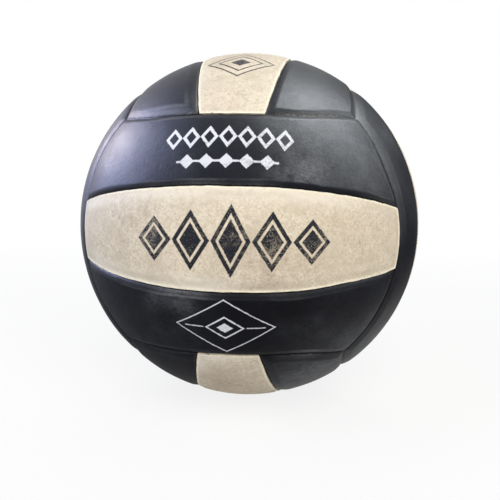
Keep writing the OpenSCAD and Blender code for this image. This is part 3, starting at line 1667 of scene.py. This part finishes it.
@dataclass(frozen=True)
class Cover:
    """The eighteen leather panels.

    Attributes:
        radius: Radius of the ball.
        thickness: Thickness of the leather.
        stem_radius: Radius of the valve's stem.
        middle_half_angle: Half the angle across a middle strip, in radians.
        seam_lean: Lean of the seams beside it, in radians.
        seam_gap: Gap between two panels.
        skive_width: Width of the skived edge.
        skive_drop: How far it falls to the seam.
        puff_depth: How far a panel is crowned.
        puff_reach: How far from the seam the crown reaches.
        lip_drop: How far the very lip of a panel turns down further.
        lip_reach: How far from the seam the lip reaches.
        lip_thickness: Leather left at the seam.
        hole_clearance: Clearance round the valve's stem.
        hole_round: Radius of the rim of the valve's hole.
        hole_drop: How far that rim lies below the ball's surface, as a share of its radius.
        hole_steps: Faces across the rim.
        hole_sides: Faces round it.
        hole_seam: Distance from a seam that the rim's wear is worked out for, in millimetres.
        hole_skive: Share of a skived edge that it is worked out for, which darkens the rim with the fold's
            painted shade.
    """

    radius: float
    thickness: float
    stem_radius: float
    middle_half_angle: float = math.pi * 51 / 660
    seam_lean: float = math.radians(12.8)
    seam_gap: float = 0.2 * MM
    skive_width: float = 5.0 * MM
    skive_drop: float = 0.95 * MM
    puff_depth: float = 0.3 * MM
    puff_reach: float = 11.0 * MM
    lip_drop: float = 0.5 * MM
    lip_reach: float = 0.8 * MM
    lip_thickness: float = 0.15 * MM
    hole_clearance: float = 0.15 * MM
    hole_round: float = 0.9 * MM
    hole_drop: float = 0.6
    hole_steps: int = 8
    hole_sides: int = 72
    hole_seam: float = 20.0
    hole_skive: float = 0.6

    def seams(self, strip: Strip) -> tuple[Seam, Seam]:
        """The seams beside a strip.

        Args:
            strip: The strip.

        Returns:
            The seams on its high and its low side.
        """
        edge = self.radius / math.sqrt(3)
        inner = self.radius * math.sin(self.middle_half_angle - self.seam_lean)
        side, other_side = Seam(0.0, edge), Seam(0.0, -edge)
        upper, lower = Seam(self.seam_lean, inner), Seam(-self.seam_lean, -inner)
        return {
            Strip.HIGH: (side, upper),
            Strip.MIDDLE: (upper, lower),
            Strip.LOW: (lower, other_side),
        }[strip]

    def build(self, black: Leather, ivory: Leather, marks: tuple[HandMark, ...]) -> None:
        """Makes every panel and puts it in the place of its solid.

        Args:
            black: Finish of the side strips.
            ivory: Finish of the middle strips.
            marks: Where the leather lies off or has sunk.
        """
        tree = PanelTree(marks)
        materials: dict[tuple[str, Print], bpy.types.Material] = {}
        for face in Face:
            for strip in Strip:
                place = f"{face.label}_{strip.of(face)}"
                finish = ivory if strip is Strip.MIDDLE else black
                mark = PRINTS.get(place, Print.NONE)
                key = (finish.name, mark)
                if key not in materials:
                    materials[key] = finish.material(mark)
                piece = self.panel(tree, face, strip, materials[key])
                if (face, strip) == (Face.BACK, Strip.MIDDLE):
                    self.punch(piece, materials[key])
                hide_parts(f"{place}_panel")
                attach(piece, "root")
                LOG.info("%s: %d faces", piece.name, len(piece.data.polygons))

    def panel(
        self, tree: PanelTree, face: Face, strip: Strip, leather: bpy.types.Material
    ) -> bpy.types.Object:
        """Cuts one panel.

        Args:
            tree: The tree that cuts panels.
            face: Its face.
            strip: Its strip.
            leather: Its material.

        Returns:
            The piece.
        """
        place = f"{face.label}_{strip.of(face)}"
        skive = SKIVES.get(place, Skive())
        high, low = self.seams(strip)
        values = {
            "Ball radius": self.radius,
            "Panel thickness": self.thickness,
            "Face edge": self.radius / math.sqrt(3),
            "High lean": high.lean,
            "High offset": high.offset,
            "Low lean": low.lean,
            "Low offset": low.offset,
            "Seam gap": self.seam_gap,
            "Skive width": self.skive_width * skive.width,
            "Skive drop": self.skive_drop * skive.drop,
            "Puff depth": self.puff_depth,
            "Puff reach": self.puff_reach,
            "Lip drop": self.lip_drop * skive.lip,
            "Lip reach": self.lip_reach * skive.lip_width,
            "Deepest drop": self.thickness - self.lip_thickness,
            "Along axis": list(face.along),
            "Across axis": list(face.across),
            "Leather": leather,
        }
        return tree.cut(f"{place}_leather", values)

    def hole_cutter(self) -> bpy.types.Object:
        """Makes the shape that punches the valve's hole: a cylinder that flares with the rim.

        Returns:
            The shape.
        """
        hole = self.stem_radius + self.hole_clearance
        level = self.radius - self.hole_round * (1 + self.hole_drop)
        profile = [(hole, self.radius - 2 * self.thickness)]
        for step in range(self.hole_steps + 1):
            angle = math.pi / 2 * step / self.hole_steps
            flare, rise = 1 - math.cos(angle), math.sin(angle)
            profile.append((hole + self.hole_round * flare, level + self.hole_round * rise))
        profile.append((hole + 2 * self.hole_round, self.radius + self.hole_round))
        return lathe("hole_cutter", profile, self.hole_sides)

    def punch(self, piece: bpy.types.Object, leather: bpy.types.Material) -> None:
        """Punches the valve's hole through a panel, with a rounded rim.

        Args:
            piece: The panel.
            leather: Its material, which the rim takes too.
        """
        cutter = self.hole_cutter()
        modifier = piece.modifiers.new("hole", "BOOLEAN")
        modifier.object = cutter
        modifier.operation = "DIFFERENCE"
        modifier.solver = "EXACT"
        settle(piece)
        bpy.data.objects.remove(cutter)
        piece.data.materials.clear()
        piece.data.materials.append(leather)
        for face in piece.data.polygons:
            face.material_index = 0
        reach = self.stem_radius + self.hole_clearance + 2 * self.hole_round
        rim = [math.hypot(point.co.x, point.co.z) < reach for point in piece.data.vertices]
        # The rim reads as lying far from a seam, partway down a skived edge, which gives it a ring of
        # painted fold shade.
        for name, worn in ((SEAM_ATTRIBUTE, self.hole_seam), (SKIVE_ATTRIBUTE, self.hole_skive)):
            for is_rim, item in zip(rim, piece.data.attributes[name].data):
                if is_rim:
                    item.value = worn


def lathe(name: str, profile: Sequence[tuple[float, float]], sides: int) -> bpy.types.Object:
    """A closed shape turned about +Y.

    Args:
        name: Name of the object.
        profile: Radius and height along +Y of each ring, from the lowest.
        sides: Faces round it.

    Returns:
        The object.
    """
    vertices: list[tuple[float, float, float]] = []
    for radius, height in profile:
        for side in range(sides):
            angle = math.tau * side / sides
            vertices.append((radius * math.cos(angle), height, -radius * math.sin(angle)))
    faces: list[tuple[int, ...]] = []
    for ring in range(len(profile) - 1):
        for side in range(sides):
            after = (side + 1) % sides
            low, high = ring * sides, (ring + 1) * sides
            faces.append((low + side, low + after, high + after, high + side))
    faces.append(tuple(reversed(range(sides))))
    top = (len(profile) - 1) * sides
    faces.append(tuple(range(top, top + sides)))
    mesh = bpy.data.meshes.new(name)
    mesh.from_pydata(vertices, [], faces)
    mesh.validate()
    shape = bpy.data.objects.new(name, mesh)
    bpy.context.scene.collection.objects.link(shape)
    return shape


def dress(node: bpy.types.Object, finish: Rubber | Winding) -> None:
    """Gives a solid a finish in every slot.

    Args:
        node: The solid.
        finish: The finish.
    """
    material = finish.material()
    if not node.material_slots:
        node.data.materials.append(material)
    for slot in node.material_slots:
        slot.material = material
    LOG.info("%s dressed in %s", node.name, finish.name)


@dataclass(frozen=True)
class Core:
    """What the leather is cemented on: the carcass, the winding and the bladder.

    Attributes:
        nodes: The solids by name.
        cement_layer: Thickness of the cement between two layers.
    """

    nodes: dict[str, bpy.types.Object]
    cement_layer: float = 0.1 * MM

    def surface_radius(self) -> float:
        """Radius at which the leather begins, on the cement round the carcass."""
        low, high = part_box("carcass")
        return (high.x - low.x) / 2 + self.cement_layer

    def dress(self, carcass: Rubber, winding: Winding, bladder: Rubber) -> None:
        """Gives each layer its finish.

        Args:
            carcass: Finish of the moulded carcass.
            winding: Finish of the wound layer.
            bladder: Finish of the bladder.
        """
        for name, finish in (("carcass", carcass), ("winding", winding), ("bladder", bladder)):
            dress(self.nodes[name], finish)


@dataclass(frozen=True)
class Valve:
    """The valve housing and the plug in it.

    Attributes:
        nodes: The solids by name.
        housing_wall: Wall of the housing's stem round the plug's head.
        plug_clearance: Clearance between the two.
    """

    nodes: dict[str, bpy.types.Object]
    housing_wall: float = 1.1 * MM
    plug_clearance: float = 0.05 * MM

    def stem_radius(self) -> float:
        """Radius of the housing's stem."""
        low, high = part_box("valve_plug")
        return (high.x - low.x) / 2 + self.plug_clearance + self.housing_wall

    def dress(self, housing: Rubber, plug: Rubber) -> None:
        """Gives the housing and the plug their finishes.

        Args:
            housing: Finish of the housing.
            plug: Finish of the plug.
        """
        for name, finish in (("valve_housing", housing), ("valve_plug", plug)):
            dress(self.nodes[name], finish)


# The studio


@dataclass(frozen=True)
class Lamp:
    """A soft lamp.

    Attributes:
        name: Its name.
        toward: Direction from the ball to the lamp.
        power: Its power in watts.
        size: Width and height of its face, in metres.
        colour: Colour of its light.
        on_surfaces: Whether it lights surfaces.
        in_gloss: Whether it shows in their gloss.
        distance: Its distance from the ball, in metres.
    """

    name: str
    toward: Direction
    power: float
    size: tuple[float, float]
    colour: Colour = (1.0, 1.0, 1.0)
    on_surfaces: bool = True
    in_gloss: bool = True
    distance: float = 1.2

    def build(self) -> None:
        """Makes the lamp, aimed at the ball."""
        light = bpy.data.lights.new(self.name, "AREA")
        light.shape = "RECTANGLE"
        light.size, light.size_y = self.size
        light.energy = self.power
        light.color = self.colour
        lamp = bpy.data.objects.new(self.name, light)
        direction = Vector(self.toward).normalized()
        lamp.location = direction * self.distance
        lamp.rotation_euler = direction.to_track_quat("Z", "Y").to_euler()
        lamp.visible_camera = False
        lamp.visible_diffuse = self.on_surfaces
        lamp.visible_glossy = self.in_gloss
        bpy.context.scene.collection.objects.link(lamp)


@dataclass(frozen=True)
class Flag:
    """A dark card that shows only in the gloss and keeps the ball's rim dark against the white.

    Attributes:
        name: Its name.
        azimuth: Where it stands, from +Y towards +X, in degrees.
        distance: Its distance from the ball's centre, in metres.
        width: Its width.
        height: Its height above the floor.
        shade: Its colour at its foot.
        head_shade: Its colour at its head.
        fade: Heights over the ball's centre between which one becomes the other, in millimetres.
    """

    name: str
    azimuth: float
    distance: float
    width: float
    height: float
    shade: Colour
    head_shade: Colour
    fade: tuple[float, float] = (60.0, 220.0)

    def cloth(self) -> bpy.types.Material:
        """Builds its material.

        Returns:
            The material.
        """
        surface = Surface(self.name)
        rise = surface.step(surface.split(surface.place())[2], *self.fade)
        shade = surface.blend(self.shade, self.head_shade, rise)
        cloth = surface.result("ShaderNodeBsdfDiffuse", inputs={"Color": shade})
        surface.node("ShaderNodeOutputMaterial", inputs={"Surface": cloth})
        return surface.material

    def build(self, floor_level: float) -> None:
        """Stands the card on the floor, facing the ball.

        Args:
            floor_level: Height of the floor.
        """
        angle = math.radians(self.azimuth)
        out = Vector((math.sin(angle), math.cos(angle), 0.0))
        side = Vector((out.y, -out.x, 0.0)) * (self.width / 2)
        foot = out * self.distance + Vector((0.0, 0.0, floor_level))
        head = foot + Vector((0.0, 0.0, self.height))
        mesh = bpy.data.meshes.new(self.name)
        mesh.from_pydata([foot - side, foot + side, head + side, head - side], [], [(0, 1, 2, 3)])
        mesh.materials.append(self.cloth())
        card = bpy.data.objects.new(self.name, mesh)
        card.visible_camera = False
        card.visible_diffuse = False
        card.visible_transmission = False
        card.visible_shadow = False
        bpy.context.scene.collection.objects.link(card)
        card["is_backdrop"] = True


def seen(bench: Bench) -> Wire:
    """1 on rays that show the surroundings themselves: camera, glossy and transmission rays.

    Args:
        bench: The bench that takes the nodes.

    Returns:
        The mask.
    """
    path = bench.node("ShaderNodeLightPath")
    shown = bench.wire(path, "Is Camera Ray").math("MAXIMUM", bench.wire(path, "Is Glossy Ray"))
    return shown.math("MAXIMUM", bench.wire(path, "Is Transmission Ray"))


@dataclass(frozen=True)
class FloorFinish:
    """A pale finish that is seen as white, keeps the ball's shadow and runs into a white backdrop.

    The ball's gloss shows the shadow in full, with a pool of light to the right of the ball's foot,
    and the camera shows it fainter and even.

    Attributes:
        name: The finish's name.
        paint: Its grey, in the light that it throws on the ball.
        edge: Distances between which it runs into the backdrop, in millimetres.
        gloss_share: Share of it that takes the shadow in the ball's gloss.
        camera_share: Share of it that takes the shadow to the camera.
        gloss_level: How bright it is in the ball's gloss, outside the pool of light.
        camera_level: How bright it is to the camera.
        pool_at: Middle of the pool of light, in millimetres.
        pool: Distances from that middle at which the pool begins and is full, in millimetres.
    """

    name: str
    paint: float = 0.72
    edge: tuple[float, float] = (250.0, 1100.0)
    gloss_share: float = 0.2
    camera_share: float = 0.15
    gloss_level: float = 0.378
    camera_level: float = 0.985
    pool_at: Direction = (90.0, 25.0, 0.0)
    pool: tuple[float, float] = (170.0, 60.0)

    def material(self) -> bpy.types.Material:
        """Builds the material.

        Returns:
            The material.
        """
        surface = Surface(self.name)
        place = surface.place()
        in_view = surface.wire(surface.node("ShaderNodeLightPath"), "Is Camera Ray")
        far = surface.step(surface.measure("LENGTH", place), *self.edge)
        share = surface.lerp(surface.lerp(self.gloss_share, self.camera_share, in_view), 0.0, far)
        pool = surface.step(surface.measure("DISTANCE", place, self.pool_at), *self.pool)
        level = surface.lerp(surface.lerp(self.gloss_level, 1.0, pool), self.camera_level, in_view)
        glow = surface.lerp(level, 1.0, far) - share
        paint = (self.paint, self.paint, self.paint)
        lit = surface.result("ShaderNodeBsdfDiffuse", inputs={"Color": paint})
        part = surface.result("ShaderNodeBsdfDiffuse", inputs={"Color": share})
        glowing = surface.result("ShaderNodeEmission", inputs={"Color": glow, "Strength": 1.0})
        bright = surface.result("ShaderNodeAddShader", inputs={0: part, 1: glowing})
        mixed = surface.result("ShaderNodeMixShader", inputs={0: seen(surface), 1: lit, 2: bright})
        surface.node("ShaderNodeOutputMaterial", inputs={"Surface": mixed})
        surface.material.cycles.emission_sampling = "NONE"
        return surface.material


@dataclass(frozen=True)
class Studio:
    """The pale floor and surroundings, the lamps and the camera.

    Attributes:
        floor_level: Height of the floor.
        floor_radius: Radius of the floor.
        floor_sides: Sides that its round edge is made of.
        fill: Strength of the even light from all round.
        fill_colour: Colour of that light.
        azimuth: The camera's azimuth, from -Y towards +X, in degrees.
        elevation: Its elevation in degrees.
        roll: Its roll in degrees.
        distance: Its distance from the centre of the ball.
        focal_pixels: Its focal length in pixels of its frame.
        frame_pixels: Width and height of that frame in pixels.
        ball_at: Where the ball's centre lies in that frame, from its middle, right and up, in pixels.
        sensor: Width of its sensor in millimetres.
        near: Distance from the camera at which things begin to show.
    """

    floor_level: float
    floor_radius: float = 4.0
    floor_sides: int = 96
    fill: float = 0.34
    fill_colour: Colour = (0.97, 0.98, 1.0)
    azimuth: float = 6.58
    elevation: float = 3.85
    roll: float = 1.08
    distance: float = 0.3346
    focal_pixels: float = 514.9
    frame_pixels: float = 500.0
    ball_at: tuple[float, float] = (-0.35, 23.7)
    sensor: float = 36.0
    near: float = 0.01

    def build(self, finish: FloorFinish, lamps: Iterable[Lamp], flags: Iterable[Flag]) -> None:
        """Sets up everything round the ball.

        Args:
            finish: Finish of the floor.
            lamps: The lamps.
            flags: The dark cards.
        """
        self.surroundings()
        self.floor(finish)
        for lamp in lamps:
            lamp.build()
        for flag in flags:
            flag.build(self.floor_level)
        self.camera()
        bpy.context.scene.view_settings.view_transform = "Standard"
        LOG.info("studio set")

    def surroundings(self) -> None:
        """White surroundings that light the ball with an even, softer light."""
        world = bpy.data.worlds.new("surroundings")
        world.use_nodes = True
        bpy.context.scene.world = world
        bench = Bench(world.node_tree)
        bench.tree.nodes.clear()
        backdrop = "ShaderNodeBackground"
        light = bench.result(backdrop, inputs={"Color": self.fill_colour, "Strength": self.fill})
        white = bench.result(backdrop, inputs={"Color": (1.0, 1.0, 1.0), "Strength": 1.0})
        mixed = bench.result("ShaderNodeMixShader", inputs={0: seen(bench), 1: light, 2: white})
        bench.node("ShaderNodeOutputWorld", inputs={"Surface": mixed})

    def floor(self, finish: FloorFinish) -> None:
        """Lays the round floor.

        Args:
            finish: Its finish.
        """
        bpy.ops.mesh.primitive_circle_add(
            vertices=self.floor_sides,
            radius=self.floor_radius,
            fill_type="NGON",
            location=(0, 0, self.floor_level),
        )
        ground = bpy.context.active_object
        ground.name = "floor"
        ground.data.materials.append(finish.material())
        ground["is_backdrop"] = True

    def camera(self) -> None:
        """The camera, placed by its angles, with the ball's centre where the frame has it."""
        azimuth, elevation = math.radians(self.azimuth), math.radians(self.elevation)
        toward = Vector(
            (
                math.sin(azimuth) * math.cos(elevation),
                -math.cos(azimuth) * math.cos(elevation),
                math.sin(elevation),
            )
        )
        right, up = self.ball_at
        sight = Vector((right, up, -self.focal_pixels)).normalized()
        level = toward.to_track_quat("Z", "Y").to_matrix()
        turn = Vector((0.0, 0.0, -1.0)).rotation_difference(sight).to_matrix()
        roll = Matrix.Rotation(math.radians(self.roll), 3, "Z")
        view = level @ roll @ turn.transposed()
        data = bpy.data.cameras.new("camera")
        data.sensor_width = self.sensor
        data.lens = self.sensor * self.focal_pixels / self.frame_pixels
        data.clip_start = self.near
        camera = bpy.data.objects.new("camera", data)
        camera.matrix_world = Matrix.Translation(toward * self.distance) @ view.to_4x4()
        bpy.context.scene.collection.objects.link(camera)
        bpy.context.scene.camera = camera


# The ball


BLACK_LEATHER = Leather(
    name="black_leather",
    dye=srgb(17, 18, 25),
    shade=srgb(11, 12, 15),
    tint=srgb(24, 25, 33),
    # Worn grey, which also paints highlight and sheen on creases and bevels.
    worn=srgb(132, 134, 137),
    rim=srgb(8, 8, 10),
    dust=srgb(168, 166, 160),
    soil=srgb(44, 44, 44),
    soiling=0.3,
    dustiness=0.6,
    grime=0.3,
    # Scuffed grey, which also paints the black's sheen in chosen places.
    scuffed=srgb(97, 99, 104),
    scuffing=0.24,
    roughness=0.47,
    specular=0.11,
    ink=srgb(220, 221, 228),
    ink_roughness=0.5,
    ink_wear=0.8,
    mottling=0.5,
    grain_depth=0.12,
    # Partly real scuffing, partly painted sheen where the lamps' gloss falls.
    scuffs_and_sheens=(
        WearAndSheenPlace((0.26, -0.7, 0.66), 9.0, 0.3),
        WearAndSheenPlace((0.5, -0.61, 0.62), 9.0, 0.6),
        WearAndSheenPlace((0.36, -0.76, 0.54), 18.0, 0.85),
        WearAndSheenPlace((0.62, -0.66, 0.42), 20.0, 0.55),
        WearAndSheenPlace((0.34, -0.9, 0.28), 13.0, 0.8),
        WearAndSheenPlace((-0.4, -0.4, 0.82), 20.0, 0.25),
        WearAndSheenPlace((-0.25, -0.9, 0.33), 30.0, 0.1),
        WearAndSheenPlace((-0.3, -0.86, -0.42), 26.0, 0.14),
        WearAndSheenPlace((0.34, -0.56, -0.75), 16.0, 0.6),
        WearAndSheenPlace((0.63, -0.55, -0.55), 16.0, 0.5),
        WearAndSheenPlace((0.75, -0.4, 0.52), 11.0, 0.35),
        WearAndSheenPlace((0.4, -0.6, -0.69), 16.0, 0.7),
        WearAndSheenPlace((0.32, -0.91, 0.27), 11.0, 0.6),
        WearAndSheenPlace((-0.2, -0.94, -0.29), 7.0, 0.7),
        WearAndSheenPlace((-0.33, -0.9, -0.275), 6.0, 0.5),
    ),
    # Worn bevels and creases, partly painted highlight and sheen.
    rubs_and_sheens=(
        WearAndSheenPlace((-0.5, -0.82, -0.24), 22.0, 0.12),
        WearAndSheenPlace((-0.2, -0.95, -0.28), 12.0, 1.4),
        WearAndSheenPlace((0.06, -0.97, -0.25), 20.0, 0.08),
        WearAndSheenPlace((0.34, -0.91, -0.23), 18.0, 0.15),
        WearAndSheenPlace((0.56, -0.8, -0.21), 16.0, 0.12),
        WearAndSheenPlace((0.53, -0.53, 0.66), 10.0, 0.6),
        WearAndSheenPlace((0.34, -0.74, 0.58), 16.0, 0.7),
        WearAndSheenPlace((-0.25, -0.79, 0.57), 14.0, 0.5),
        WearAndSheenPlace((-0.38, -0.72, 0.58), 14.0, 0.4),
        WearAndSheenPlace((-0.33, -0.91, 0.26), 20.0, 0.3),
        WearAndSheenPlace((-0.1, -0.96, 0.25), 10.0, 0.5),
        WearAndSheenPlace((0.13, -0.95, 0.25), 8.0, 0.25),
        WearAndSheenPlace((0.4, -0.76, -0.5), 10.0, 0.9),
        WearAndSheenPlace((-0.35, -0.78, -0.52), 14.0, 0.3),
        WearAndSheenPlace((0.59, -0.62, 0.52), 10.0, 0.7),
        WearAndSheenPlace((0.68, -0.62, 0.4), 16.0, 0.3),
        WearAndSheenPlace((0.75, -0.62, 0.2), 14.0, 0.3),
        WearAndSheenPlace((0.6, -0.64, -0.5), 16.0, 0.2),
    ),
    dusty=(
        WearAndSheenPlace((0.34, -0.74, 0.58), 16.0, 1.0),
        WearAndSheenPlace((0.5, -0.64, 0.58), 10.0, 0.45),
        WearAndSheenPlace((0.59, -0.62, 0.52), 8.0, 1.0),
        WearAndSheenPlace((-0.52, -0.63, 0.57), 10.0, 0.8),
        WearAndSheenPlace((-0.22, -0.8, 0.57), 12.0, 0.8),
        WearAndSheenPlace((0.0, -0.96, 0.25), 40.0, 0.12),
        WearAndSheenPlace((-0.2, -0.95, -0.26), 12.0, 0.4),
        WearAndSheenPlace((0.38, -0.73, -0.56), 16.0, 0.4),
        WearAndSheenPlace((-0.1, -0.82, -0.55), 16.0, 0.4),
    ),
)

IVORY_LEATHER = Leather(
    name="ivory_leather",
    dye=srgb(230, 219, 198),
    shade=srgb(200, 186, 163),
    tint=srgb(227, 214, 195),
    # Pale cream laid on the ivory's edges as painted light.
    worn=srgb(250, 244, 232),
    rim=srgb(253, 244, 220),
    dust=srgb(120, 106, 88),
    soil=srgb(158, 138, 120),
    soiling=0.45,
    dustiness=0.3,
    grime=0.0,
    scuffed=srgb(192, 178, 160),
    scuffing=0.3,
    roughness=0.6,
    specular=0.09,
    ink=srgb(36, 37, 44),
    ink_roughness=0.45,
    ink_wear=0.75,
    mottling=1.0,
    rim_width=0.8,
    rim_fade=0.4,
    # Painted shade along the dip of the ivory's skived edges.
    painted_fold_shade=0.35,
    rub_and_sheen_reach=1.9,
    crease_rub_and_highlight=0.0,
    clean_edge=0.0,
    nick=srgb(52, 48, 44),
    nicking=0.8,
    scuffs_and_sheens=(
        WearAndSheenPlace((-0.5, -0.86, 0.07), 20.0, 0.65),
        WearAndSheenPlace((0.2, -0.96, -0.2), 22.0, 1.0),
        WearAndSheenPlace((0.62, -0.78, 0.05), 26.0, 0.3),
        WearAndSheenPlace((-0.03, -0.64, -0.77), 13.0, 1.0),
        WearAndSheenPlace((0.12, -0.78, -0.62), 10.0, 0.3),
        WearAndSheenPlace((-0.02, -0.36, 0.93), 15.0, 0.8),
    ),
    # Painted light: paler places on the ivory's edges, along its upper seams and on its lower left, stand in
    # for light falling there.
    rubs_and_sheens=(
        WearAndSheenPlace((-0.72, -0.66, 0.18), 20.0, 0.8),
        WearAndSheenPlace((-0.3, -0.92, 0.22), 26.0, 0.8),
        WearAndSheenPlace((0.1, -0.97, 0.22), 26.0, 0.5),
        WearAndSheenPlace((0.42, -0.88, 0.22), 26.0, 0.7),
        WearAndSheenPlace((-0.11, -0.79, -0.6), 13.0, 1.4),
        WearAndSheenPlace((-0.62, -0.77, -0.15), 22.0, 0.9),
        WearAndSheenPlace((-0.14, -0.97, -0.2), 17.0, 1.0),
        WearAndSheenPlace((-0.17, -0.56, 0.81), 16.0, 0.7),
    ),
)

CARCASS_RUBBER = Rubber("carcass_rubber", srgb(48, 46, 44), srgb(84, 80, 75), 0.7)
NYLON_WINDING = Winding("nylon_winding", srgb(222, 214, 190), srgb(188, 170, 128))
BUTYL_RUBBER = Rubber("butyl_rubber", srgb(42, 41, 40), srgb(70, 68, 66), 0.55)
HOUSING_RUBBER = Rubber("valve_housing_rubber", srgb(34, 34, 36), srgb(58, 57, 56), 0.62)
PLUG_RUBBER = Rubber("valve_plug_rubber", srgb(24, 24, 27), srgb(50, 50, 52), 0.5, 0.3, 0.012)

HAND_MARKS = (
    HandMark((0.0, -0.25, 1.0), sink=-0.5, reach=34.0),
    HandMark((0.0, -0.2, -1.0), sink=-0.4, reach=40.0),
    HandMark((-1.0, -0.1, 0.0), sink=0.5, reach=55.0),
    HandMark((1.0, -0.1, 0.05), sink=0.45, reach=50.0),
    HandMark((0.5, 0.15, 0.85), sink=0.35, reach=30.0),
    HandMark((-0.05, -0.82, 0.58), shift=(0.3, -0.85, -1.2), reach=40.0),
    HandMark((0.15, -0.82, -0.58), shift=(0.0, -1.0, 1.4), reach=40.0),
    HandMark((0.0, -0.97, 0.25), shift=(0.0, 0.0, 0.6), reach=40.0),
    HandMark((-0.35, -0.91, 0.23), shift=(0.0, 0.0, -0.15), reach=22.0),
    HandMark((-0.48, -0.84, -0.23), shift=(0.0, 0.0, 0.7), reach=22.0),
    HandMark((-0.2, -0.95, -0.25), shift=(0.0, 0.0, 0.6), reach=20.0),
    HandMark((0.06, -0.97, -0.24), shift=(0.0, 0.0, 0.35), reach=20.0),
    HandMark((0.56, -0.81, -0.2), shift=(0.0, 0.0, 1.0), reach=18.0),
    HandMark((-0.86, -0.52, 0.0), shift=(0.4, -0.9, 0.0), reach=30.0),
    HandMark((0.74, -0.62, 0.28), shift=(-0.9, -1.1, 0.0), reach=12.0),
    HandMark((-1.0, -1.0, 1.0), shift=(-1.2, 1.2, 0.0), reach=28.0),
    HandMark((1.0, -1.0, 1.0), shift=(0.3, 0.9, 0.6), reach=28.0),
    HandMark((1.0, -1.0, -1.0), shift=(-0.6, 1.2, -1.8), reach=28.0),
    HandMark((-0.4, -0.68, 0.61), shift=(0.0, -1.0, -1.8), reach=17.0),
    HandMark((0.39, -0.73, -0.57), shift=(0.0, -0.9, 1.0), reach=16.0),
    HandMark((0.31, -0.74, 0.59), shift=(0.0, -0.7, -1.2), reach=14.0),
    HandMark((0.46, -0.66, 0.59), shift=(0.0, 0.1, 0.2), reach=13.0),
    HandMark((0.7, -0.61, 0.36), shift=(-1.3, -1.3, 0.0), reach=18.0),
    HandMark((0.0, -0.96, 0.27), shift=(0.0, 0.0, -0.5), reach=14.0),
)

SKIVES = {
    "top_left": Skive(1.18, 1.0),
    "top_right": Skive(0.78, 1.35),
    "top_middle": Skive(0.8, 0.75, -0.6, 1.4),
    "front_upper": Skive(0.6, 1.0),
    "front_middle": Skive(1.15, 0.9, -0.9, 1.6),
    "front_lower": Skive(0.7, 0.9),
    "right_front": Skive(1.25, 1.0),
    "right_middle": Skive(0.8, 0.7, -0.5, 1.4),
    "right_back": Skive(0.8, 1.0),
    "bottom_right": Skive(1.1, 1.0),
    "bottom_middle": Skive(0.8, 0.75, -0.6, 1.4),
    "bottom_left": Skive(0.9, 1.0),
    "left_middle": Skive(0.85, 0.7, -0.5, 1.4),
    "left_back": Skive(1.2, 1.0),
    "back_middle": Skive(0.8, 0.75, -0.6, 1.4),
    "back_lower": Skive(1.2, 1.0),
}
"""The panels whose skived edge differs from the usual one."""

PRINTS = {
    "front_middle": Print.FRONT_BAND,
    "front_upper": Print.UPPER_CHAIN,
    "front_lower": Print.LOWER_MARK,
    "top_middle": Print.TOP_MARK,
}
"""The panels with a printed mark."""

LAMPS = (
    Lamp("lamp_front", (0.3, -0.72, 0.62), 10.8, (0.9, 0.8), (1.0, 0.965, 0.9), in_gloss=False),
    Lamp("lamp_back", (-0.1, 0.95, 0.3), 5.5, (1.0, 0.8), (0.92, 0.96, 1.0), in_gloss=False),
    Lamp("window_glow", (-0.74, -0.35, 0.58), 5.0, (0.6, 0.9), (0.7, 0.78, 1.0), in_gloss=False),
    Lamp("window_left", (-0.89, -0.05, 0.45), 51.0, (0.84, 0.84), (0.5, 0.585, 1.0), on_surfaces=False),
    Lamp("window_core", (-0.83, 0.27, 0.45), 10.5, (0.18, 0.28), (1.0, 0.87, 0.86), on_surfaces=False),
    Lamp("lamp_right", (0.42, 0.02, 0.87), 46.0, (0.48, 0.74), (0.92, 0.98, 1.0), on_surfaces=False),
    Lamp("window_right", (0.81, -0.03, 0.5), 17.0, (1.2, 0.32), (0.92, 0.98, 1.0), on_surfaces=False),
)

FLAGS = (Flag("flag_right", 50.0, 0.4, 0.55, 0.5, (0.06, 0.06, 0.065), (0.2, 0.2, 0.21)),)

PALE_FLOOR = FloorFinish("pale_floor")


def flat_box(box: tuple[Vector, Vector]) -> list[list[float]]:
    """A box as plain lists of numbers."""
    return [[float(part) for part in corner] for corner in box]


def main() -> None:
    """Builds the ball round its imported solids, and the studio round the ball."""
    logging.basicConfig(level=logging.INFO, format="%(name)s: %(message)s")
    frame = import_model()
    cad_box = flat_box(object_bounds())
    floor_level, top_level = cad_box[0][2], cad_box[1][2]
    radius = (top_level - floor_level) / 2
    core = Core(frame["nodes"])
    valve = Valve(frame["nodes"])
    thickness = radius - core.surface_radius()
    cover = Cover(radius, thickness, valve.stem_radius())
    cover.build(BLACK_LEATHER, IVORY_LEATHER, HAND_MARKS)
    core.dress(CARCASS_RUBBER, NYLON_WINDING, BUTYL_RUBBER)
    valve.dress(HOUSING_RUBBER, PLUG_RUBBER)
    Studio(floor_level).build(PALE_FLOOR, LAMPS, FLAGS)
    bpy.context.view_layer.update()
    LOG.info("ball %.1f mm across, leather %.2f mm", 2 * radius / MM, thickness / MM)


if __name__ == "__main__":
    main()
